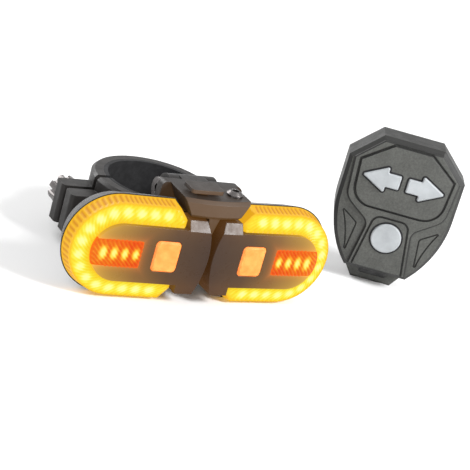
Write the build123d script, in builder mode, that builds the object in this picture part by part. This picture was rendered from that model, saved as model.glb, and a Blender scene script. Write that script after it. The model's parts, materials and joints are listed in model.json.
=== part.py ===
from build123d import *
from math import cos, pi, radians, sin
import os

# Bicycle turn signal light: a left and a right light on a seat post bracket, and their handlebar remote.
# Millimetres, +Z up, the lights face -Y and their outer ends are swept back.
# The origin is on the seat post's axis, at the lower face of its clamp, which stands at Z = 0.
# The right light is drawn and the left one is its mirror image.

os.makedirs("parts", exist_ok=True)

HEX_SIDES = 6

# Gaps between pieces
SNUG = 0.06
SLIDING = 0.15
LOOSE = 0.3

# Seat post clamp
POST_RADIUS = 15.8
LINER_WALL = 1.4
CLAMP_WALL = 3.8
CLAMP_HEIGHT = 22
CLAMP_SPLIT = 2
EAR_HEIGHT = 13
EAR_THICKNESS = 6
EAR_WIDTH = 10
EAR_CORNER = 1.5
CLAMP_EDGE = 1
CLAMP_SCREW_RADIUS = 1.95
CLAMP_SCREW_HEAD_RADIUS = 5
CLAMP_SCREW_HEAD_HEIGHT = 6.5
CLAMP_SCREW_LOBES = 8
CLAMP_SCREW_SCALLOP = 1
CLAMP_SCREW_SLOT = 1
CLAMP_SCREW_SHORT = 0.6
CLAMP_NUT_RADIUS = 3.6
CLAMP_NUT_THICKNESS = 3

# Tilt joint between the bracket and the clamp
TILT_LUG_WIDTH = 9
TILT_LUG_RADIUS = 5
TILT_EAR = 3.6
TILT_BOLT_RADIUS = 2
TILT_HEAD_RADIUS = 3.6
TILT_HEAD_HEIGHT = 2.6
TILT_NUT_THICKNESS = 3
TILT_KEY = 1.6
TILT_KEY_DEPTH = 1.6
TILT_BACK = 24.5
TILT_RISE = 12

# Each light, seen from the front
LIGHT_LENGTH = 45
LENS_HALF = 16.2
LENS_CHAMFER_LENGTH = 3.7
BLOCK_LENGTH = 8.3
BLOCK_HALF = 11.8
BLOCK_NOSE = 2.5
BLOCK_BEVEL = 3
BLOCK_BEVEL_DEPTH = 2
TONGUE_HALF = 9.1
WINDOW_START = 22.2
WINDOW_HALF = 4.3
WINDOW_CORNER = 1
BUTTON_CENTRE = 14.05
BUTTON_LENGTH = 8.1
BUTTON_HEIGHT = 9.9
BUTTON_CORNER = 1.3
APEX_GAP = 1.6
SWEEP = 2.5
REACH = 46

# Each light, from its front face back
CROWN_DEPTH = 1
DOME_FLAT = 6
DOME_MIDDLE = 5
DOME_MIDDLE_DROP = 0.5
DOME_SOFTENING = 12
SHOULDER_INSET = 0.9
SHOULDER_DROP = 1.7
SHOULDER_RADIUS = 1.7
RIM_STEP = 0.35
RIM_DEPTH = 7.5
BOARD_DEPTH = 7.8
BOARD_THICKNESS = 1
LIGHT_DEPTH = 14.5
LENS_WALL = 1.6
SHELL_WALL = 1.8
COVER_THICKNESS = 2.6
BACK_DRAFT = 20
BACK_EDGE = 0.8

# What each light holds
BUTTON_PROUD = 0.5
BUTTON_TRAVEL = 0.6
BUTTON_LIP = 0.7
BUTTON_LIP_THICKNESS = 0.7
BUTTON_STEM = 1.5
SWITCH_SIZE = 6
SWITCH_BODY = 1.5
SWITCH_PLUNGER_RADIUS = 1.4
SWITCH_PLUNGER = 0.9
LED_SIZE = 2.7
LED_HEIGHT = 1.4
LED_EDGE_GAP = 3.9
LED_PITCH = 4.4
LEDS_IN_STRAIGHT = 3
LEDS_IN_ROUND = 10
RED_LED_SIZE = 2.4
RED_LED_PITCH = 3.5
RED_LED_COUNT = 4
RED_LED_CENTRE = 29.2
REFLECTOR_THICKNESS = 1
REFLECTOR_INSET = 2.6
BATTERY_LENGTH = 15
BATTERY_WIDTH = 13
BATTERY_THICKNESS = 3.2
BATTERY_CENTRE = 31
BATTERY_CORNER = 1.5
GASKET_INSET = 0.5
GASKET_WIDTH = 0.8
GASKET_THICKNESS = 0.8
BOARD_INSET = 2.5
BOSS_RADIUS = 1.7
BOSS_NEAR = 5.6
BOSS_FAR = 20.4
BOSS_NEAR_HALF = 6.9
BOSS_FAR_HALF = 7.2
SHELL_SCREW_RADIUS = 0.9
SHELL_SCREW_HEAD = 1.6
SHELL_SCREW_HEAD_HEIGHT = 1.2
SHELL_SCREW_GRIP = 2.2

# Charging socket in the back of each light, and its plug
SOCKET_CENTRE = 19.4
SOCKET_THICKNESS = 3.2
SOCKET_WIDTH = 8.9
SOCKET_WALL = 0.4
SOCKET_TONGUE = 0.7
SOCKET_TONGUE_WIDTH = 6.5
PLUG_LENGTH = 6
PLUG_WIDTH = 10.4
PLUG_THICKNESS = 1
PLUG_NOSE = 0.6
PLUG_CORNER = 1

# Rail of the bracket and its slot in the back of each light
RAIL_HEAD_HALF = 4.5
RAIL_HEAD_THICKNESS = 1.7
RAIL_NECK_HALF = 2.5
RAIL_LIP = 1.5
RAIL_START = 0.8
RAIL_LENGTH = 14
SLOT_FLOOR = 1.2
SLOT_SIDE = 2
SLOT_END = 1.6

# Bracket
HUB_BOTTOM = 12.1
HUB_HEIGHT = 5.9
HUB_BOTTOM_HALF = 8
HUB_TOP_HALF = 11.4
HUB_FRONT = 2.5
HUB_CROWN = 1.6
HUB_EDGE = 1
PLATE_FRONT = 15.9
PLATE_THICKNESS = 3.2
PLATE_HALF = 14
PLATE_BOTTOM = -7
PLATE_CORNER = 2
SPINE_TOP_HALF = 1.9
SPINE_LOW_HALF = 0.5
SPINE_BOTTOM = 6.5
LATCH_WIDTH = 11
LATCH_CENTRE = -3.5
LATCH_SETBACK = 1.6
LATCH_LENGTH = 7
LATCH_CORNER = 1.2
LATCH_THICKNESS = 1.2
LATCH_STEM = 2.4
LATCH_TRAVEL = 1
LATCH_STEM_DEPTH = 4
HUB_SCREW_CENTRE = 7.5
HUB_SCREW_RADIUS = 2.6
HUB_SCREW_DOME = 1.5
HUB_SCREW_EDGE = 0.9
HUB_SCREW_KEY = 1.3
HUB_SCREW_KEY_DEPTH = 0.8

# Remote, seen from the front with its lower end at Z = 0
REMOTE_X = 76
REMOTE_Y = -26
REMOTE_YAW = -30
REMOTE_WIDTH = 39.6
REMOTE_HEIGHT = 52.4
REMOTE_TOP_HALF = 10.4
REMOTE_CORNER = 9.2
REMOTE_SHOULDER = 29.4
REMOTE_FOOT_HALF = 10.7
REMOTE_TAB = 5.4
TAB_HALF = 6.9
TOP_SHELL_DEPTH = 5
REMOTE_DEPTH = 13
REMOTE_WALL = 1.5
REMOTE_FACE_WALL = 2.2
REMOTE_EDGE = 1.2
REMOTE_BACK_EDGE = 1.2
TAB_FRONT = 7
TAB_SLOT_WIDTH = 9.8
TAB_SLOT_HEIGHT = 2.4
TAB_SLOT_RISE = 3.3
TAB_SLOT_CORNER = 0.8
PANEL_HALF = 15.7
PANEL_FOOT_HALF = 14.6
PANEL_DROP = 24.2
PANEL_CORNER = 6.5
PANEL_RAISE = 0.4
GROOVE = 0.7
GROOVE_DEPTH = 0.6
RIDGE_HEIGHT = 0.9
RIDGE_EDGE = 0.4
RIDGE_TOP_HALF = 18
RIDGE_BEND_HALF = 17
RIDGE_BEND_DROP = 23.2
RIDGE_BEND_RADIUS = 6
RIDGE_NECK_HALF = 7.7
RIDGE_NECK_DROP = 30
RIDGE_NECK_RADIUS = 3.5
RIDGE_FOOT_HALF = 10.2
CHEEK_TOP_HALF = 16.2
CHEEK_TOP_DROP = 28.2
CHEEK_NECK_HALF = 11.2
CHEEK_NECK_DROP = 31.6
CHEEK_NECK_RADIUS = 1
CHEEK_TIP_HALF = 12.2
CHEEK_TIP_DROP = 41
CHEEK_BULGE = 0.6
CHEEK_GROOVE = 0.5
CHEEK_GROOVE_DEPTH = 0.4
ARROW_LENGTH = 12.9
ARROW_HEAD = 8.4
ARROW_HEAD_HEIGHT = 9.2
ARROW_SHAFT_HEIGHT = 4.9
ARROW_GAP = 2.5
ARROW_DROP = 13.8
ARROW_CORNER = 0.5
POWER_RADIUS = 5.1
POWER_DROP = 33.7
CENTRE_PANEL_TOP_HALF = 5.6
CENTRE_PANEL_CORNER = 2.6
CENTRE_PANEL_FOOT_HALF = 8.4
CENTRE_PANEL_DROP = 27.3
CENTRE_PANEL_FOOT_DROP = 46.3
KEY_PROUD = 0.7
KEY_LIP = 0.7
KEY_LIP_THICKNESS = 0.6
KEY_TRAVEL = 0.8
KEY_EDGE = 0.35
MAT_THICKNESS = 0.8
REMOTE_BOARD_THICKNESS = 1
CELL_RADIUS = 10
CELL_THICKNESS = 3.2
CELL_EDGE = 0.3
DOOR_RADIUS = 11.3
DOOR_THICKNESS = 1.6
DOOR_DROP = 18
COIN_SLOT_LENGTH = 12
COIN_SLOT_WIDTH = 1.8
COIN_SLOT_DEPTH = 0.7
CELL_COLLAR_WALL = 1.4
CELL_COLLAR_DEPTH = 6.5
CONTACT_RADIUS = 1.5
CONTACT_SPREAD = 5
REMOTE_BOSS_RADIUS = 1.7
REMOTE_BOSS_HALF = 15
REMOTE_FOOT_BOSS_HALF = 4.6
REMOTE_FOOT_BOSS_RISE = 9
HANDLEBAR_RADIUS = 15.9
PAD_WIDTH = 14
PAD_HEIGHT = 14
PAD_THICKNESS = 4.6
PAD_RISE = 13.5
PAD_CORNER = 1
PAD_HOLLOW = 2.3

# Planes and heights that the pieces share
ROUND_CENTRE = LIGHT_LENGTH - LENS_HALF
LENS_START = BLOCK_LENGTH + SNUG
led_row = LENS_HALF - LED_EDGE_GAP
OUTWARD = (cos(radians(SWEEP)), sin(radians(SWEEP)), 0)
light_front = Plane(
    origin=(APEX_GAP / 2, -REACH, LENS_HALF),
    x_dir=OUTWARD,
    z_dir=(sin(radians(SWEEP)), -cos(radians(SWEEP)), 0),
)
remote_front = Plane(
    origin=(REMOTE_X, REMOTE_Y, 0),
    x_dir=(cos(radians(REMOTE_YAW)), sin(radians(REMOTE_YAW)), 0),
    z_dir=(sin(radians(REMOTE_YAW)), -cos(radians(REMOTE_YAW)), 0),
)
tilt_y = -REACH + TILT_BACK
tilt_z = LENS_HALF + TILT_RISE


def behind(depth):
    """The plane of the right light's front face, moved back into the light."""
    return light_front.offset(-depth)


def across(out):
    """A section plane of the right light: x is up and y is forward out of its face."""
    return Plane(origin=light_front.from_local_coords((out, 0, 0)), x_dir=(0, 0, 1), z_dir=OUTWARD)


def into_remote(depth):
    """The plane of the remote's front face, moved back into the remote."""
    return remote_front.offset(-depth)


def keep(piece, name):
    """Label a piece and write it as its own file."""
    piece.part.label = name
    export_step(piece.part, f"parts/{name}.step")


# Outlines of the light, drawn with x outward and y up
with BuildSketch() as rim_outline:
    with BuildLine():
        chamfer_end = LENS_START + LENS_CHAMFER_LENGTH
        Polyline(
            (ROUND_CENTRE, -LENS_HALF),
            (chamfer_end, -LENS_HALF),
            (LENS_START, -BLOCK_HALF),
            (LENS_START, BLOCK_HALF),
            (chamfer_end, LENS_HALF),
            (ROUND_CENTRE, LENS_HALF),
        )
        ThreePointArc((ROUND_CENTRE, LENS_HALF), (LIGHT_LENGTH, 0), (ROUND_CENTRE, -LENS_HALF))
    make_face()

with BuildSketch() as block_outline:
    with BuildLine():
        Polyline(
            (BLOCK_NOSE, -BLOCK_HALF),
            (BLOCK_LENGTH, -BLOCK_HALF),
            (BLOCK_LENGTH, BLOCK_HALF),
            (BLOCK_NOSE, BLOCK_HALF),
        )
        ThreePointArc((BLOCK_NOSE, BLOCK_HALF), (0, 0), (BLOCK_NOSE, -BLOCK_HALF))
    make_face()

# The back shell is one outline: the block and the lens rim together
with BuildSketch() as light_outline:
    with BuildLine():
        Polyline(
            (ROUND_CENTRE, -LENS_HALF),
            (chamfer_end, -LENS_HALF),
            (LENS_START, -BLOCK_HALF),
            (BLOCK_NOSE, -BLOCK_HALF),
        )
        ThreePointArc((BLOCK_NOSE, -BLOCK_HALF), (0, 0), (BLOCK_NOSE, BLOCK_HALF))
        Polyline(
            (BLOCK_NOSE, BLOCK_HALF),
            (LENS_START, BLOCK_HALF),
            (chamfer_end, LENS_HALF),
            (ROUND_CENTRE, LENS_HALF),
        )
        ThreePointArc((ROUND_CENTRE, LENS_HALF), (LIGHT_LENGTH, 0), (ROUND_CENTRE, -LENS_HALF))
    make_face()

with BuildSketch() as window_outline:
    window_length = LIGHT_LENGTH + LENS_HALF - WINDOW_START
    with Locations((WINDOW_START + window_length / 2, 0)):
        RectangleRounded(window_length, 2 * WINDOW_HALF, WINDOW_CORNER)

# The tongue is a bar with a round end, forked by the brake light's window
with BuildSketch() as tongue_outline:
    with Locations(((BLOCK_LENGTH + ROUND_CENTRE) / 2, 0)):
        Rectangle(ROUND_CENTRE - BLOCK_LENGTH, 2 * TONGUE_HALF)
    with Locations((ROUND_CENTRE, 0)):
        Circle(TONGUE_HALF)
    add(window_outline.sketch, mode=Mode.SUBTRACT)

near_bosses = [(BOSS_NEAR, BOSS_NEAR_HALF), (BOSS_NEAR, -BOSS_NEAR_HALF)]
far_bosses = [(BOSS_FAR, BOSS_FAR_HALF), (BOSS_FAR, -BOSS_FAR_HALF)]
bosses = near_bosses + far_bosses


def inside(outline, inset):
    """An outline drawn in all round by the same inset."""
    with BuildSketch() as inner:
        add(outline.sketch)
        offset(amount=-inset, kind=Kind.INTERSECTION, mode=Mode.REPLACE)
    return inner.sketch


def domed_bar(start, inset):
    """A bar along the light with a domed front, steep sides and a half round outer end.

    It is the lens's outer form, drawn in all round by the inset."""
    crown = CROWN_DEPTH + inset
    half = LENS_HALF - RIM_STEP - inset
    with BuildSketch() as half_section:
        with BuildLine():
            dome_start = (-DOME_FLAT, -crown)
            dome_middle = (DOME_MIDDLE - half, -crown - DOME_MIDDLE_DROP)
            shoulder = (SHOULDER_INSET - half, -crown - SHOULDER_DROP)
            rim = (-half, -RIM_DEPTH)
            softening = (DOME_SOFTENING - inset, SHOULDER_RADIUS - inset / 2)
            FilletPolyline(dome_start, dome_middle, shoulder, rim, radius=softening)
            Polyline(rim, (0, -RIM_DEPTH), (0, -crown), dome_start)
        make_face()
    with BuildPart() as bar:
        with BuildSketch(across(start)):
            add(half_section.sketch)
            mirror(half_section.sketch, about=Plane.YZ)
        extrude(amount=ROUND_CENTRE - start)
        with BuildSketch(across(ROUND_CENTRE)):
            add(half_section.sketch)
        revolve(
            axis=Axis(light_front.from_local_coords((ROUND_CENTRE, 0, 0)), light_front.z_dir),
            revolution_arc=180,
        )
    return bar.part


# Lens: a domed shell with a band round the tongue and a strip that fills its window
with BuildPart() as lens_cavity:
    add(domed_bar(LENS_START + LENS_WALL, LENS_WALL))
    with BuildSketch(light_front):
        add(inside(rim_outline, RIM_STEP + LENS_WALL))
    extrude(amount=-LIGHT_DEPTH, mode=Mode.INTERSECT)

with BuildPart() as lens:
    add(domed_bar(LENS_START, 0))
    with BuildSketch(light_front):
        add(inside(rim_outline, RIM_STEP))
        with Locations((LENS_START + RIM_STEP / 2, 0)):
            Rectangle(RIM_STEP, 2 * (BLOCK_HALF - RIM_STEP))
    extrude(amount=-LIGHT_DEPTH, mode=Mode.INTERSECT)
    add(lens_cavity.part, mode=Mode.SUBTRACT)
    with BuildSketch(light_front):
        add(tongue_outline.sketch)
        offset(amount=SNUG, kind=Kind.INTERSECTION, mode=Mode.REPLACE)
    extrude(amount=-LIGHT_DEPTH, mode=Mode.SUBTRACT)

# Front cover: the block at the inner end and the forked tongue that lies on the lens
with BuildPart() as front_cover:
    with BuildSketch(light_front):
        add(block_outline.sketch)
        add(tongue_outline.sketch)
    extrude(amount=-COVER_THICKNESS)
    with BuildSketch(behind(COVER_THICKNESS)):
        add(block_outline.sketch)
        add(inside(block_outline, SHELL_WALL), mode=Mode.SUBTRACT)
    extrude(amount=COVER_THICKNESS - RIM_DEPTH)
    # One sloping facet along the block's upper front edge
    with BuildSketch(across(0)):
        with BuildLine():
            Polyline(
                (BLOCK_HALF - BLOCK_BEVEL, 0),
                (BLOCK_HALF - BLOCK_BEVEL, 1),
                (BLOCK_HALF + 1, 1),
                (BLOCK_HALF + 1, -BLOCK_BEVEL_DEPTH),
                (BLOCK_HALF, -BLOCK_BEVEL_DEPTH),
                close=True,
            )
        make_face()
    extrude(amount=BLOCK_LENGTH, mode=Mode.SUBTRACT)
    with BuildSketch(behind(COVER_THICKNESS)):
        with Locations(*bosses):
            Circle(BOSS_RADIUS)
    extrude(amount=COVER_THICKNESS - BOARD_DEPTH)
    with BuildSketch(behind(BOARD_DEPTH)):
        with Locations(*bosses):
            Circle(SHELL_SCREW_RADIUS)
    extrude(amount=SHELL_SCREW_GRIP, mode=Mode.SUBTRACT)
    with BuildSketch(light_front):
        with Locations((BUTTON_CENTRE, 0)):
            RectangleRounded(
                BUTTON_LENGTH + 2 * SLIDING, BUTTON_HEIGHT + 2 * SLIDING, BUTTON_CORNER + SLIDING
            )
    extrude(amount=-COVER_THICKNESS, mode=Mode.SUBTRACT)

# Button: a cap with a lip that keeps it under the cover, and a stem that meets the switch
with BuildPart() as button:
    with BuildSketch(behind(-BUTTON_PROUD)):
        with Locations((BUTTON_CENTRE, 0)):
            RectangleRounded(BUTTON_LENGTH, BUTTON_HEIGHT, BUTTON_CORNER)
    extrude(amount=-(BUTTON_PROUD + COVER_THICKNESS + SLIDING))
    chamfer(button.edges().group_by(Axis(light_front.origin, light_front.z_dir))[-1], BUTTON_PROUD)
    with BuildSketch(behind(COVER_THICKNESS + SLIDING)):
        with Locations((BUTTON_CENTRE, 0)):
            RectangleRounded(BUTTON_LENGTH + 2 * BUTTON_LIP, BUTTON_HEIGHT + 2 * BUTTON_LIP, BUTTON_CORNER)
    extrude(amount=-BUTTON_LIP_THICKNESS)
    stem_top = COVER_THICKNESS + SLIDING + BUTTON_LIP_THICKNESS
    stem_end = BOARD_DEPTH - SWITCH_BODY - SWITCH_PLUNGER - BUTTON_TRAVEL - SNUG
    with BuildSketch(behind(stem_top)):
        with Locations((BUTTON_CENTRE, 0)):
            Circle(BUTTON_STEM)
    extrude(amount=stem_top - stem_end)

with BuildPart() as button_switch:
    with BuildSketch(behind(BOARD_DEPTH)):
        with Locations((BUTTON_CENTRE, 0)):
            Rectangle(SWITCH_SIZE, SWITCH_SIZE)
    extrude(amount=SWITCH_BODY)
    with BuildSketch(behind(BOARD_DEPTH - SWITCH_BODY)):
        with Locations((BUTTON_CENTRE, 0)):
            Circle(SWITCH_PLUNGER_RADIUS)
    extrude(amount=SWITCH_PLUNGER)

# Circuit board, and on it the amber LEDs round the lens band and the red ones in the window
with BuildPart() as led_board:
    with BuildSketch(behind(BOARD_DEPTH)):
        add(inside(light_outline, BOARD_INSET))
        with Locations(*bosses):
            Circle(SHELL_SCREW_RADIUS + SLIDING, mode=Mode.SUBTRACT)
    extrude(amount=-BOARD_THICKNESS)


def amber_squares(size):
    """Squares at every amber LED: two straight rows and the round end between them."""
    row_middle = ROUND_CENTRE - LED_PITCH * (LEDS_IN_STRAIGHT + 1) / 2
    with BuildSketch() as squares:
        with Locations((row_middle, 0)):
            with GridLocations(LED_PITCH, 2 * led_row, LEDS_IN_STRAIGHT, 2):
                Rectangle(size, size)
        with Locations((ROUND_CENTRE, 0)):
            with PolarLocations(led_row, LEDS_IN_ROUND, -90, 180, endpoint=True):
                Rectangle(size, size)
    return squares.sketch


def red_squares(size):
    """Squares at every red LED, in one row behind the window."""
    with BuildSketch() as squares:
        with Locations((RED_LED_CENTRE, 0)):
            with GridLocations(RED_LED_PITCH, 1, RED_LED_COUNT, 1):
                Rectangle(size, size)
    return squares.sketch


with BuildPart() as amber_leds:
    with BuildSketch(behind(BOARD_DEPTH)):
        add(amber_squares(LED_SIZE))
    extrude(amount=LED_HEIGHT)

with BuildPart() as red_leds:
    with BuildSketch(behind(BOARD_DEPTH)):
        add(red_squares(RED_LED_SIZE))
    extrude(amount=LED_HEIGHT)

# Reflector: a white plate round the LEDs, with holes for the switch and the bosses
with BuildPart() as reflector:
    with BuildSketch(behind(BOARD_DEPTH)):
        add(inside(rim_outline, REFLECTOR_INSET))
        add(amber_squares(LED_SIZE + 2 * SLIDING), mode=Mode.SUBTRACT)
        add(red_squares(RED_LED_SIZE + 2 * SLIDING), mode=Mode.SUBTRACT)
        with Locations((BUTTON_CENTRE, 0)):
            Rectangle(SWITCH_SIZE + 2 * SLIDING, SWITCH_SIZE + 2 * SLIDING, mode=Mode.SUBTRACT)
        with Locations(*far_bosses):
            Circle(BOSS_RADIUS + SLIDING, mode=Mode.SUBTRACT)
    extrude(amount=REFLECTOR_THICKNESS)

# Back shell: a tray with screw bosses, the slot for the bracket's rail and the charging port
slot_head_top = LIGHT_DEPTH - RAIL_LIP - RAIL_HEAD_THICKNESS - 2 * SLIDING
slot_end = RAIL_START + RAIL_LENGTH + LOOSE
slot_start = -LENS_HALF
slot_length = slot_end - slot_start
shell_height = LIGHT_DEPTH - RIM_DEPTH
with BuildPart() as shell_form:
    with BuildSketch(behind(RIM_DEPTH)):
        add(light_outline.sketch)
    extrude(amount=-shell_height, taper=BACK_DRAFT)
    chamfer(shell_form.edges().group_by(Axis(light_front.origin, light_front.z_dir))[0], BACK_EDGE)

with BuildPart() as slot_housing:
    add(shell_form.part)
    with BuildSketch(behind(slot_head_top - SLOT_FLOOR)):
        with Locations(((slot_start + slot_end + SLOT_END) / 2, 0)):
            Rectangle(slot_length + SLOT_END, 2 * (RAIL_HEAD_HALF + SLIDING + SLOT_SIDE))
    extrude(amount=slot_head_top - SLOT_FLOOR - LIGHT_DEPTH, mode=Mode.INTERSECT)

with BuildPart() as back_shell:
    add(shell_form.part)
    with BuildSketch(behind(RIM_DEPTH)):
        add(inside(light_outline, SHELL_WALL))
    extrude(amount=SHELL_WALL - shell_height, taper=BACK_DRAFT, mode=Mode.SUBTRACT)
    add(slot_housing.part)
    with BuildSketch(behind(BOARD_DEPTH + BOARD_THICKNESS)):
        with Locations(*bosses):
            Circle(BOSS_RADIUS)
    extrude(amount=BOARD_DEPTH + BOARD_THICKNESS - LIGHT_DEPTH + SHELL_WALL)
    with BuildSketch(behind(slot_head_top)):
        with Locations(((slot_start + slot_end) / 2, 0)):
            Rectangle(slot_length, 2 * (RAIL_HEAD_HALF + SLIDING))
    extrude(amount=-RAIL_HEAD_THICKNESS - 2 * SLIDING, mode=Mode.SUBTRACT)
    with BuildSketch(behind(slot_head_top)):
        with Locations(((slot_start + slot_end) / 2, 0)):
            Rectangle(slot_length, 2 * (RAIL_NECK_HALF + SLIDING))
    extrude(amount=slot_head_top - LIGHT_DEPTH, mode=Mode.SUBTRACT)
    with Locations(behind(LIGHT_DEPTH)):
        with Locations(*[Location((x, y, 0), (180, 0, 0)) for x, y in bosses]):
            CounterBoreHole(
                SHELL_SCREW_RADIUS + SNUG,
                SHELL_SCREW_HEAD + SLIDING,
                SHELL_SCREW_HEAD_HEIGHT,
                depth=LIGHT_DEPTH - BOARD_DEPTH - BOARD_THICKNESS,
            )
    with BuildSketch(behind(RIM_DEPTH)):
        add(inside(light_outline, GASKET_INSET))
        add(inside(light_outline, GASKET_INSET + GASKET_WIDTH), mode=Mode.SUBTRACT)
    extrude(amount=-GASKET_THICKNESS, mode=Mode.SUBTRACT)
    with BuildSketch(behind(LIGHT_DEPTH)):
        with Locations((SOCKET_CENTRE, 0)):
            Rectangle(PLUG_LENGTH + 2 * SLIDING, PLUG_WIDTH + 2 * SLIDING)
    extrude(amount=PLUG_THICKNESS, mode=Mode.SUBTRACT)
    with BuildSketch(behind(LIGHT_DEPTH)):
        with Locations((SOCKET_CENTRE, 0)):
            RectangleRounded(SOCKET_THICKNESS, SOCKET_WIDTH, SOCKET_THICKNESS / 2 - SOCKET_WALL)
    extrude(amount=SHELL_WALL, mode=Mode.SUBTRACT)

with BuildPart() as gasket:
    with BuildSketch(behind(RIM_DEPTH)):
        add(inside(light_outline, GASKET_INSET))
        add(inside(light_outline, GASKET_INSET + GASKET_WIDTH), mode=Mode.SUBTRACT)
    extrude(amount=-GASKET_THICKNESS)

# Shell screws: four pan head screws from the back, through the board's bosses into the cover's
with BuildPart() as shell_screws:
    with BuildSketch(behind(LIGHT_DEPTH)):
        with Locations(*bosses):
            Circle(SHELL_SCREW_HEAD)
    extrude(amount=SHELL_SCREW_HEAD_HEIGHT)
    with BuildSketch(behind(LIGHT_DEPTH - SHELL_SCREW_HEAD_HEIGHT)):
        with Locations(*bosses):
            Circle(SHELL_SCREW_RADIUS)
    extrude(amount=LIGHT_DEPTH - SHELL_SCREW_HEAD_HEIGHT - BOARD_DEPTH + SHELL_SCREW_GRIP)

with BuildPart() as battery:
    battery_top = LIGHT_DEPTH - SHELL_WALL - BATTERY_THICKNESS
    with BuildSketch(behind(battery_top)):
        with Locations((BATTERY_CENTRE, 0)):
            RectangleRounded(BATTERY_LENGTH, BATTERY_WIDTH, BATTERY_CORNER)
    extrude(amount=-BATTERY_THICKNESS)

# Charging socket: a metal shell on the board, open to the back, with its contact tongue
with BuildPart() as usb_socket:
    socket_top = BOARD_DEPTH + BOARD_THICKNESS
    socket_length = LIGHT_DEPTH - SHELL_WALL - socket_top
    with BuildSketch(behind(socket_top)):
        with Locations((SOCKET_CENTRE, 0)):
            RectangleRounded(SOCKET_THICKNESS, SOCKET_WIDTH, SOCKET_THICKNESS / 2 - SNUG)
    extrude(amount=-socket_length)
    with BuildSketch(behind(socket_top + socket_length)):
        with Locations((SOCKET_CENTRE, 0)):
            RectangleRounded(
                SOCKET_THICKNESS - 2 * SOCKET_WALL,
                SOCKET_WIDTH - 2 * SOCKET_WALL,
                SOCKET_THICKNESS / 2 - SOCKET_WALL - SNUG,
            )
            Rectangle(SOCKET_TONGUE, SOCKET_TONGUE_WIDTH, mode=Mode.SUBTRACT)
    extrude(amount=socket_length - SOCKET_WALL, mode=Mode.SUBTRACT)

with BuildPart() as port_plug:
    with BuildSketch(behind(LIGHT_DEPTH - PLUG_THICKNESS)):
        with Locations((SOCKET_CENTRE, 0)):
            RectangleRounded(PLUG_LENGTH, PLUG_WIDTH, PLUG_CORNER)
    extrude(amount=-PLUG_THICKNESS)
    with BuildSketch(behind(LIGHT_DEPTH - PLUG_THICKNESS)):
        with Locations((SOCKET_CENTRE, 0)):
            RectangleRounded(
                SOCKET_THICKNESS - 2 * LOOSE - 2 * SOCKET_WALL,
                SOCKET_WIDTH - 2 * LOOSE - 2 * SOCKET_WALL,
                SOCKET_WALL,
            )
    extrude(amount=PLUG_NOSE)

# Write the right light's pieces, and the left light's as their mirror images
light_pieces = {
    "lens": lens,
    "front_cover": front_cover,
    "button": button,
    "button_switch": button_switch,
    "led_board": led_board,
    "amber_leds": amber_leds,
    "red_leds": red_leds,
    "reflector": reflector,
    "back_shell": back_shell,
    "gasket": gasket,
    "shell_screws": shell_screws,
    "battery": battery,
    "usb_socket": usb_socket,
    "port_plug": port_plug,
}
for piece_name, right_piece in light_pieces.items():
    keep(right_piece, f"right_{piece_name}")
    with BuildPart() as left_piece:
        mirror(right_piece.part, about=Plane.YZ)
    keep(left_piece, f"left_{piece_name}")

# Bracket carrier: the hub above the blocks, the plate behind them and a rail into each light
with BuildPart() as rail:
    rail_head_top = slot_head_top + SLIDING
    with BuildSketch(behind(rail_head_top)):
        with Locations((RAIL_START + RAIL_LENGTH / 2, 0)):
            Rectangle(RAIL_LENGTH, 2 * RAIL_HEAD_HALF)
    extrude(amount=-RAIL_HEAD_THICKNESS)
    with BuildSketch(behind(rail_head_top)):
        with Locations((RAIL_START + RAIL_LENGTH / 2, 0)):
            Rectangle(RAIL_LENGTH, 2 * RAIL_NECK_HALF)
    extrude(amount=rail_head_top - PLATE_FRONT - PLATE_THICKNESS / 2)

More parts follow.
